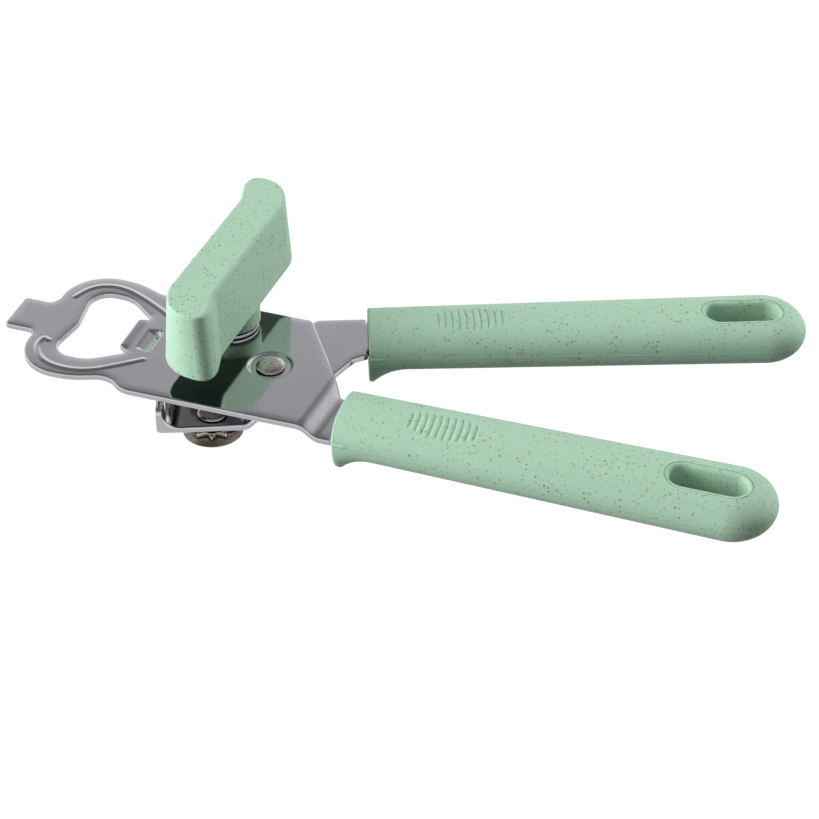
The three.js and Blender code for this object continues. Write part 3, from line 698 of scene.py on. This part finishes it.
def frontHeight(x, y, loops):
    # joggle before the grip, sunken pivot seat, two half-round ribs, the sloping pocket behind the tongue
    f = frontLever
    turn = math.radians(f["bendTurn"])
    z = -softRamp(x * math.cos(turn) + y * math.sin(turn), *f["bend"], f["drop"], f["bendSoft"])
    z -= rolledEdge(np.c_[x, y], loops[:2], f["rollDepth"], f["rollWidth"])
    fromPivot = np.hypot(x, y)
    slope = f["seatSlope"]
    z -= f["seatDepth"] * (1 - smoothStep(fromPivot, f["seatRadius"] - slope, f["seatRadius"] + slope / 2))
    spots = np.c_[x, y]
    near = (x > f["ribX"][0]) & (x < f["ribX"][1])
    for rib in ("upperRib", "lowerRib"):
        away = np.full(len(x), 9.0)
        away[near] = distanceTo(spots[near], smoothCurve(f[rib]))
        z += f["ribHeight"] * np.cos(np.clip(away / f["ribHalf"], 0, 1) * math.pi / 2) ** 1.6
    (left, right), (low, high), soft = f["pocketX"], f["pocketY"], f["pocketSoft"]
    slope = softRamp(x, left, right, 1, 0.4) * (1 - smoothStep(x, right, right + f["pocketWall"]))
    sides = smoothStep(y, low - soft, low + soft) * (1 - smoothStep(y, high - soft, high + soft))
    z -= f["pocketDepth"] * slope * sides
    aside = np.abs(y - f["axisY"]) < opening["tongueHalf"] + f["liftRoom"]
    onTongue = smoothStep(-x, -f["liftX"][1], -f["liftX"][0]) * (x > f["liftEndX"]) * aside
    return z + f["tipLift"] * onTongue


def makeFrontLever():
    # finer points of the face lie over the bend, the ribs, the pivot seat and the pocket
    f = frontLever
    loops = frontOutlines()
    turn = math.radians(f["bendTurn"])
    offsets = np.arange(-1.6, 1.61, 0.2)
    after = len(offsets) // 2 + 1  # first of the offsets past the middle one
    patches = [(bendPatch(loops[0], turn, *f["bend"], f["bendSoft"] + 0.2), 0.7)]
    for rib in ("upperRib", "lowerRib"):
        line = smoothCurve(f[rib], 14)
        along = np.gradient(line, axis=0)
        along /= np.linalg.norm(along, axis=1)[:, None]
        line = np.concatenate([
            line[:1] + along[:1] * offsets[:after - 1, None], line,
            line[-1:] + along[-1:] * offsets[after:, None],
        ])
        along = np.concatenate([
            along[:1].repeat(after - 1, 0), along, along[-1:].repeat(after - 1, 0),
        ])
        across = np.c_[-along[:, 1], along[:, 0]]
        points = (line[:, None] + across[:, None] * offsets[None, :, None]).reshape(-1, 2)
        patches.append((points, 0.5))
    rings = np.arange(4.5, 6.7, 0.16)
    seat = np.concatenate([circle(radius, count=110) for radius in rings])
    patches.append((seat, 0.4))
    patches.append((gridOf(np.arange(-39.6, -30.0, 0.3), np.arange(-4.8, 5.4, 0.3)), 0.35))
    clear = sheetEdge[0, 0] + 0.18
    infill = thinned(infillOf(loops, sheet["grid"], clear, patches))

    def place(x, y, depth):
        return np.c_[x, y, frontHeight(x, y, loops) - depth]
    vertices, faces = sheetSurface(loops, sheetEdge, infill, place)
    piece = newPiece("frontLeverPlate", moved(vertices, pivotAt, frontTurn, frontTop), faces, 50)
    return finished(piece, "front_half", "front_lever", plateSteel, "chromed_steel")


def thinned(spots, room=0.09):
    # one point for each small square of the plan, so that overlapping patches leave no needle triangles
    cells = np.round(spots / room).astype(int)
    keep = np.unique(cells, axis=0, return_index=True)[1]
    return spots[np.sort(keep)]


makeFrontLever()
print("front lever stamped")


rearLever = {
    "tailX": 25.2, "tangY": 15.3, "tangHalf": 8.2, "farNotch": (4.0, 13.6), "farShoulderX": 12.0,
    "eyeRadius": 12.4, "slantTop": (21.6, 5.6), "slantEndX": 6.6, "slantFillet": 4.0,
    "shoulderFillet": 3.0, "eyeFillets": (5.0, 3.0, 2.5),
    "armNearY": -13.7, "armEndNearY": -14.7, "armFarY": -2.9,
    "lipOutX": -29.1, "lipTop": 11.785, "innerBend": 4.5, "outerBend": 1.15, "armCorner": 1.6,
    "rampStart": 6.9, "rampRun": 5.4, "boreRadius": 2.56, "studHole": 2.7, "rollDepth": 0.08,
    "rollWidth": 1.8,
}


def makeRearLever():
    r = rearLever
    cutterSpot = moved(np.array([[*(cutterAt - pivotAt), 0]]), (0, 0), -rearTurn)[0, :2]
    armTurn = math.atan2(cutterSpot[1], cutterSpot[0])
    bendX = r["lipOutX"] + thick + r["innerBend"]
    rise = r["lipTop"] - armTop
    inner = roundedPath([  # (x, z) of the lip's inside, from the flat arm to its top
        (bendX + 1, 0), (bendX, 0), (r["lipOutX"] + thick, 0, r["innerBend"] - 1e-3),
        (r["lipOutX"] + thick, rise),
    ], 0.3, closed=False)
    outer = roundedPath([
        (bendX + 1, -thick), (bendX, -thick), (r["lipOutX"], -thick, r["outerBend"]), (r["lipOutX"], rise),
    ], 0.3, closed=False)

    def along(path):
        # distance gone along the path; the first millimetre lies on the flat arm, before the bend
        return np.r_[0, np.cumsum(np.linalg.norm(np.diff(path, axis=0), axis=1))] - 1
    unrolled = along(inner)[-1]
    eye = r["eyeRadius"]
    endX = bendX - unrolled
    loops = [roundedPath([
        (endX, r["armEndNearY"], r["armCorner"]), (r["slantEndX"], r["armNearY"], r["slantFillet"]),
        (*r["slantTop"], r["slantFillet"]), *tailCorners(r["tailX"], r["tangY"], r["tangHalf"]),
        (r["farShoulderX"], r["tangY"] + r["tangHalf"], r["shoulderFillet"]),
        (*r["farNotch"], r["shoulderFillet"]), (-eye / 2, r["farNotch"][1], r["eyeFillets"][0]),
        (-eye, eye / 3, r["eyeFillets"][1]), (-eye, r["armFarY"], r["eyeFillets"][2]),
        (endX, r["armFarY"], r["armCorner"]),
    ]), clockwise(circle(r["boreRadius"])), clockwise(circle(r["studHole"], cutterSpot))]
    start, end = r["rampStart"], r["rampStart"] + r["rampRun"]
    lipGrid = gridOf(np.arange(endX, bendX + 0.4, 0.3), np.arange(-15, -2.5, 0.8))
    patches = [(bendPatch(loops[0], armTurn, start, end), 0.7), (lipGrid, 0.5)]
    infill = thinned(infillOf(loops, sheet["grid"], sheetEdge[0, 0] + 0.18, patches))

    def place(x, y, depth):
        # flat plate, ramp down to the arm, then both faces of the lip bent up along their own curves
        run = x * math.cos(armTurn) + y * math.sin(armTurn)
        z = rearTop - softRamp(run, start, end, rearTop - armTop)
        z -= rolledEdge(np.c_[x, y], loops[:1], r["rollDepth"], r["rollWidth"])
        gone = np.clip((bendX - x) / unrolled, 0, 1)
        share = (depth / thick)[:, None]
        insideFace, outsideFace = (
            np.c_[np.interp(gone * along(path)[-1], along(path), path[:, 0]),
                  np.interp(gone * along(path)[-1], along(path), path[:, 1])] for path in (inner, outer)
        )
        bent = insideFace * (1 - share) + outsideFace * share
        onLip = x < bendX
        return np.c_[
            np.where(onLip, bent[:, 0], x), y, np.where(onLip, armTop + bent[:, 1], z - depth),
        ]
    vertices, faces = sheetSurface(loops, sheetEdge, infill, place)
    piece = newPiece("rearLeverPlate", moved(vertices, pivotAt, rearTurn), faces, 50)
    return finished(piece, "rear_half", "rear_lever", plateSteel, "chromed_steel")


makeRearLever()
print("rear lever stamped")


grip = {
    "halfFront": 9.4, "halfTail": 11.38, "halfThick": 6.7, "squareness": 2.35, "around": 208,
    "frontEdge": 0.55, "guardDrop": 4.67, "guardLand": 1.2, "guardLength": 11.0, "guardSweep": 2.4,
    "seamHeight": 0.08, "seamHalf": 0.26, "markHeight": 0.34, "markEnd": 3.9, "markHalf": 0.26,
    "grooves": 11, "pitch": 1.85, "grooveDepth": 0.42, "steep": 0.3, "easy": 1.05, "lensHalf": 4.6,
    "tangDrop": 0.6, "grooveCurve": 0.018,
}
frontGrip = {"faceX": 24.5, "length": 110.52, "axisY": -12.9, "tangY": -12.3, "patchX": 27.2, "patchY": -1.6,
             "lean": 0.10}
rearGrip = {"faceX": 25.5, "length": 115.17, "axisY": 14.4, "tangY": 15.3, "patchX": 27.0, "patchY": -1.2,
            "lean": 0.03}
hangSlot = {"length": 19.4, "width": 7.6, "fromTail": 17.2, "aside": -0.8, "lip": 1.25, "line": 0.26,
            "wallDepth": 1.15}


def sectionRadius(cosine, sine):
    # radius of the rounded-rectangle section with unit half sides, at an angle
    n = grip["squareness"]
    return (np.abs(cosine) ** n + np.abs(sine) ** n) ** (-1 / n)


def gripTopZ(x, y, length):
    # height of the upper face over a point of the plan
    g, n = grip, grip["squareness"]
    straight = length - g["halfTail"]
    half = g["halfFront"] + (g["halfTail"] - g["halfFront"]) * np.clip(x / straight, 0, 1)
    ring = np.sqrt(np.clip(1 - ((x - straight).clip(0) / g["halfTail"]) ** 2, 1e-6, 1))
    return g["halfThick"] * ring * (1 - np.clip(np.abs(y) / (half * ring), 0, 1) ** n) ** (1 / n)


def gripSurface(shape):
    # stations along the axis times angles round it: the section widens to the tail, which is a half round;
    # guard, seam and finger grooves are added to each section
    g = grip
    edge = g["frontEdge"]
    straight = shape["length"] - g["halfTail"]
    patchHalf = g["grooves"] * g["pitch"] / 2 + 1
    patchFrom, patchTo = shape["patchX"] - patchHalf, shape["patchX"] + patchHalf
    x = np.concatenate([
        np.linspace(0, edge, 7)[:-1], np.arange(edge, patchFrom, 0.4),
        np.arange(patchFrom, patchTo, 0.17), np.arange(patchTo, straight, 0.42),
    ])
    short = (edge - x).clip(0)
    inset = edge - np.sqrt(np.clip(edge ** 2 - short ** 2, 0, None))
    cap = np.linspace(0, math.pi / 2, 44)
    faceRings = np.array([0.0, 0.25, 0.5, 0.75, 0.93])
    x = np.concatenate([np.zeros(len(faceRings)), x, straight + g["halfTail"] * np.sin(cap)])
    inset = np.concatenate([np.full(len(faceRings), edge), inset, np.zeros(len(cap))])
    ring = np.concatenate([faceRings, np.ones(len(inset) - len(faceRings) - len(cap)), np.cos(cap)])
    half = g["halfFront"] + (g["halfTail"] - g["halfFront"]) * np.clip(x / straight, 0, 1) - inset
    share = np.clip((x - g["guardLand"]) / (g["guardLength"] - g["guardLand"]), 0, 1)
    guard = g["guardDrop"] * (1 - share) ** g["guardSweep"]
    turn = np.arange(g["around"]) * 2 * math.pi / g["around"]
    angle = turn - 0.22 * np.sin(2 * turn)  # closer steps at the seam
    cosine, sine = np.cos(angle), np.sin(angle)
    corner = sectionRadius(cosine, sine)
    depth = g["halfThick"] - inset[:, None] + np.where(sine < 0, guard[:, None], 0)
    y = cosine * corner * half[:, None] * ring[:, None]
    z = sine * corner * depth * ring[:, None]
    full = (ring == 1)[:, None] | (x[:, None] > straight)
    seam = g["seamHeight"] * np.exp(-(z / g["seamHalf"]) ** 2 * 2)
    onMark = smoothStep(-x, -g["markEnd"], 0.5 - g["markEnd"]) * (x > 0.1)
    mark = g["markHeight"] * onMark[:, None] * np.exp(-(z / g["markHalf"]) ** 4) * (cosine < 0)
    y += np.sign(cosine) * (seam + mark) * full * (ring[:, None] > 0.2)
    z -= grooveDepth(x[:, None], y, shape) * (sine > 0) * full
    points = np.stack([x[:, None] + 0 * y, y, z], -1)
    index = np.arange(y.size).reshape(y.shape)
    return points.reshape(-1, 3), facesBetween(index).tolist()


def grooveDepth(x, y, shape):
    # saw-tooth cuts across the grip, shorter towards both ends of the patch and slightly curved
    g = grip
    across = y - shape["patchY"]
    run = x - shape["patchX"] + shape["lean"] * across + g["grooveCurve"] * across ** 2
    number = np.round(run / g["pitch"] - 0.5) + 0.5
    lens = np.clip(1 - (number * 2 / (g["grooves"] + 1.2)) ** 2, 0, 1) ** 0.5 * g["lensHalf"]
    within = (run / g["pitch"] - number + 0.5) * g["pitch"]
    falling = smoothStep(within, 0.1, 0.1 + g["steep"])
    rising = 1 - smoothStep(within, 0.1 + g["steep"], 0.1 + g["steep"] + g["easy"])
    ends = 1 - smoothStep(np.abs(across), lens - 0.9, lens)
    return g["grooveDepth"] * falling * rising * ends * (np.abs(number) < g["grooves"] / 2)


def slotCutter(length):
    # the hanging slot with its lip: rows of (outset, depth below the face) carried round the slot
    s = hangSlot
    centre = length - s["fromTail"]
    lip, line = s["lip"], s["line"]
    roll = np.linspace(0.15, 1, 9) * math.pi / 2
    rows = np.concatenate([
        [[lip, line], [lip - 0.13, line + 0.01], [lip - 0.26, 0.07]],
        np.c_[(lip - 0.36) * (1 - np.sin(roll)), 0.05 + s["wallDepth"] * (1 - np.cos(roll))],
    ])
    loop = slotPath(s["length"], s["width"])
    normal = outwards(loop)
    spots = loop[None] + normal[None] * rows[:, :1, None]
    x, y = spots[..., 0] + centre, spots[..., 1] + s["aside"]
    upper = gripTopZ(x, y, length) - rows[:, 1:]
    top = np.stack([x, y, upper], -1)
    lid = top[:1] * [1, 1, 0] + [0, 0, 12]
    bottom = (top * [1, 1, -1])[::-1]
    points = np.concatenate([lid, top, bottom, lid * [1, 1, -1]])
    index = np.arange(points.shape[0] * len(loop)).reshape(-1, len(loop))
    return points.reshape(-1, 3), facesBetween(index).tolist() + [index[0].tolist(), index[-1][::-1].tolist()]


def boxSurface(low, high):
    x, y, z = np.meshgrid(*zip(low, high), indexing="ij")
    faces = [(0, 1, 3, 2), (4, 6, 7, 5), (0, 4, 5, 1), (2, 3, 7, 6), (0, 2, 6, 4), (1, 5, 7, 3)]
    return np.c_[x.ravel(), y.ravel(), z.ravel()].astype(float), faces


def makeGrip(name, node, body, shape, turn, sheetTop):
    lift = grip["tangDrop"]  # the lever runs this far below the grip's middle plane
    c, s = math.cos(math.radians(turn)), math.sin(math.radians(turn))
    faceX = shape["faceX"]
    at = pivotAt + [c * faceX - s * shape["axisY"], s * faceX + c * shape["axisY"]]
    high = sheetTop - thick / 2 + lift
    pieces = []
    pocketY = shape["tangY"] - shape["axisY"]
    pocketHalf = tail["halfWidth"] + gap
    pocketHigh = thick / 2 + gap
    pocket = boxSurface(
        (-5, pocketY - pocketHalf, -lift - pocketHigh),
        (tail["length"] + gap, pocketY + pocketHalf, -lift + pocketHigh),
    )
    surfaces = {"": gripSurface(shape), "Slot": slotCutter(shape["length"]), "Pocket": pocket}
    for part, surface in surfaces.items():
        pieces.append(newPiece(name + part, moved(surface[0], at, turn, high), surface[1]))
    whole = cutWith(pieces[0], pieces[1:], sharpAngle=32)
    return finished(whole, body, node, mintPlastic, "mint_plastic")


makeGrip("frontHandGrip", "front_grip", "front_half", frontGrip, frontTurn, frontTop - frontLever["drop"])
makeGrip("rearHandGrip", "rear_grip", "rear_half", rearGrip, rearTurn, rearTop)
print("grips moulded")


knob = {
    "turn": -2.0, "neckRadius": 7.7, "neckHeight": 4.6, "height": 19.0, "halfLength": 33.5,
    "halfWidth": 7.25, "flare": 2.0, "flareLength": 12.0, "flareBend": 5.2, "waist": 9.0, "hollow": 5.0,
    "tip": 3.3, "back": 12.0, "draft": (1.35, 0.3), "leanFrom": 6, "topEdge": 0.8, "bottomEdge": 0.6,
    "edgeSteps": 7, "neckInto": 0.6, "neckFoot": (1.2, 0.9), "squareHalf": 2.8,
}


def makeKnob():
    k = knob
    bottom = highest("knob") - k["height"]
    flaredX = k["halfWidth"] + k["flare"]

    def half(sign):
        return [
            (sign * k["halfWidth"], sign * (k["flareLength"] - k["halfLength"]), k["waist"]),
            (sign * flaredX, sign * (k["flareBend"] - k["halfLength"]), k["hollow"]),
            (sign * flaredX, sign * -k["halfLength"], k["tip"]),
            (sign * -k["halfWidth"], sign * -k["halfLength"], k["back"]),
        ]
    outline = roundedPath((half(1) + half(-1))[::-1], 0.45)
    edge = edgeOf(k["height"], k["topEdge"], k["bottomEdge"], k["edgeSteps"], 0.3)
    rows = np.linspace(0.1, 0.9, 9)[:, None] * [0, k["height"]]
    wallAt = k["edgeSteps"] + 2  # the side wall follows the rows of the top corner
    edge = np.concatenate([edge[:wallAt], rows, edge[wallAt:]])

    def place(x, y, depth):
        # sides lean in towards the top: by a fixed amount across, less along
        share = 1 - depth / k["height"]
        lean = np.clip(x / k["leanFrom"], -1, 1) * k["draft"][0] * share
        shorter = 1 - k["draft"][1] * share / k["halfLength"]
        return np.c_[x - lean, y * shorter, bottom + k["height"] - depth]
    vertices, faces = sheetSurface([outline], edge, infillOf([outline], 1.6, 1.6), place)
    bar = newPiece("butterflyKnob", moved(vertices, shaftAt, frontTurn + k["turn"]), faces, 32)
    radius, low, high = k["neckRadius"], bottom - k["neckHeight"], bottom + k["neckInto"]
    inset, fillet = k["neckFoot"]
    neck = turnedSurface([
        (0, low), (radius - inset, low), (radius, low, fillet), (radius, high), (0, high),
    ])
    neckTool = newPiece("knobNeck", moved(neck[0], shaftAt), neck[1])
    cutWith(bar, [neckTool], "UNION", 32)
    side = k["squareHalf"]
    socket = boxSurface((-side, -side, low - 1), (side, side, highest("feed_shaft") + gap))
    socketTool = newPiece("knobSocket", moved(socket[0], shaftAt, frontTurn), socket[1])
    cutWith(bar, [socketTool], sharpAngle=32)
    return finished(bar, "knob_drive", "knob", mintPlastic, "mint_plastic")


makeKnob()
print("knob moulded")


bush = {"bore": 3.26, "outer": 5.2, "neck": 4.2}


def turnedPiece(name, node, body, at, corners, material, slot, segments=96):
    surface = turnedSurface(corners, segments)
    piece = newPiece(name, moved(surface[0], at), surface[1])
    return finished(piece, body, node, material, slot)


def ringCorners(node, bore, radius=None, edge=0.12):
    # a plain washer of the node's own size, or of another radius
    low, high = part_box(node)
    radius = radius or (high.x - low.x) / 2 / mm
    lowZ, highZ = low.z / mm, high.z / mm
    return [(bore, lowZ, edge), (radius, lowZ, edge), (radius, highZ, edge), (bore, highZ, edge)]


rivet = {"head": 3.75, "crown": 0.6, "dimple": 0.34, "dimpleDepth": 0.3, "shank": 2.5, "button": 4.4,
         "buttonFlat": 3.0, "foot": 1.1}
blade = {"radius": 7.8, "bore": 2.46, "flatInset": 1.2, "edge": (0.12, 0.3)}
stud = {"head": 4.1, "flat": 0.8, "shank": 2.4, "height": 0.8, "corner": 0.6}
star = {"tip": 6.4, "root": 4.55, "teeth": 10, "fillet": 0.16, "bore": 2.46, "edge": 0.09,
        "turn": 18.0}  # the turn puts one tooth nearest the viewer at rest
feedWheel = {"tip": 13.0, "root": 11.9, "teeth": 24, "fillet": 0.2, "bore": 3.5, "edge": 0.12,
             "turn": frontTurn}


def makeRivet():
    r = rivet
    top, low = highest("pivot_rivet"), lowest("pivot_rivet")
    seat = frontTop - frontLever["seatDepth"] + gap
    footTop = low + r["foot"]
    turnedPiece("pivotRivetHead", "pivot_rivet", "front_half", pivotAt, [
        (0, low), (r["buttonFlat"], low, 0.5), (r["button"], low + 0.5, 0.45),
        (r["button"], footTop, 0.1),
        (r["shank"], footTop), (r["shank"], seat), (r["head"], seat),
        (r["head"], top - r["crown"], 0.16), (r["head"] * 0.72, top - 0.14, 1.4),
        (r["dimple"] + 0.1, top - 0.01, 0.1), (r["dimple"] - 0.1, top - r["dimpleDepth"], 0.1),
        (0, top - r["dimpleDepth"]),
    ], rivetSteel, "wheel_steel", 128)


def makeCutter():
    b, s = blade, stud
    low, high = lowest("cutter_blade"), highest("cutter_blade")
    turnedPiece("cutterBlade", "cutter_blade", "cutter", cutterAt, [
        (b["bore"], low, 0.06), (b["radius"] - b["flatInset"], low, 0.2),
        (b["radius"], low + b["edge"][0], 0.04), (b["radius"], low + b["edge"][1], 0.04),
        (star["tip"], high, 0.3), (b["bore"], high, 0.06),
    ], bladeSteel, "wheel_steel", 160)
    top, foot, flat = highest("cutter_stud"), lowest("cutter_stud"), s["head"] * s["flat"]
    turnedPiece("cutterStud", "cutter_stud", "rear_half", cutterAt, [
        (0, foot), (flat, foot, s["corner"]), (s["head"], foot + s["height"] * 0.7, 0.25),
        (s["head"], foot + s["height"], 0.08), (s["shank"], foot + s["height"]),
        (s["shank"], top - s["height"]), (s["head"], top - s["height"], 0.1),
        (flat, top - 0.25, s["corner"]), (0, top, 0),
    ], rivetSteel, "wheel_steel")


def toothedPath(tipRadius, rootRadius, teeth, fillet):
    # straight flanks from root to tip, each tip and root slightly rounded
    angles = np.arange(2 * teeth) * math.pi / teeth
    radii = np.where(np.arange(2 * teeth) % 2 == 0, tipRadius, rootRadius)
    corners = np.c_[radii * np.cos(angles), radii * np.sin(angles), np.full(2 * teeth, fillet)]
    return roundedPath(corners.tolist(), 0.3)


def toothedPiece(name, node, body, at, wheel, material):
    low, high = lowest(node), highest(node)
    edge = edgeOf(high - low, wheel["edge"], wheel["edge"], 3, 0.05)
    outline = toothedPath(wheel["tip"], wheel["root"], wheel["teeth"], wheel["fillet"])
    loops = [outline, clockwise(circle(wheel["bore"]))]
    vertices, faces = sheetSurface(
        loops, edge, infillOf(loops, 0.8, 0.4), lambda x, y, depth: np.c_[x, y, high - depth],
    )
    piece = newPiece(name, moved(vertices, at, wheel["turn"]), faces)
    return finished(piece, body, node, material, "wheel_steel")


makeRivet()
makeCutter()
toothedPiece("rimStarWheel", "rim_star", "cutter", cutterAt, star, starSteel)
toothedPiece("feedWheelTeeth", "feed_wheel", "knob_drive", shaftAt, feedWheel, bladeSteel)
knobWasherRadius = 7.3
for ringName, ringNode, ringBody, ringAt, ringBore, ringMaterial, ringSlot in (
    ("pivotWasherRing", "pivot_washer", "front_half", pivotAt, 2.8, washerSteel, "chromed_steel"),
    ("knobWasherRing", "knob_washer", "front_half", shaftAt, 3.5, washerSteel, "chromed_steel"),
    ("thrustWasherRing", "thrust_washer", "front_half", shaftAt, 3.5, washerSteel, "chromed_steel"),
    ("cutterSpacerRing", "cutter_spacer", "rear_half", cutterAt, 2.7, washerSteel, "chromed_steel"),
    ("feedCollarRing", "feed_collar", "knob_drive", shaftAt, 3.5, turnedSteel, "dark_steel"),
):
    ringRadius = knobWasherRadius if ringNode == "knob_washer" else None
    corners = ringCorners(ringNode, ringBore, ringRadius)
    turnedPiece(ringName, ringNode, ringBody, ringAt, corners, ringMaterial, ringSlot)
bushLow, bushTop = lowest("shaft_bush"), highest("shaft_bush")
bushShoulder = frontTop - thick - gap
turnedPiece("shaftBushSleeve", "shaft_bush", "front_half", shaftAt, [
    (bush["bore"], bushLow, 0.1), (bush["outer"], bushLow, 0.25), (bush["outer"], bushShoulder, 0.1),
    (bush["neck"], bushShoulder), (bush["neck"], bushTop, 0.1), (bush["bore"], bushTop, 0.1),
], turnedSteel, "dark_steel")
frame["nodes"]["feed_shaft"].data.materials.clear()
frame["nodes"]["feed_shaft"].data.materials.append(turnedSteel)
print("turned pieces made")

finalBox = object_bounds()
[[list(corner) for corner in box] for box in (cadBox, finalBox)]
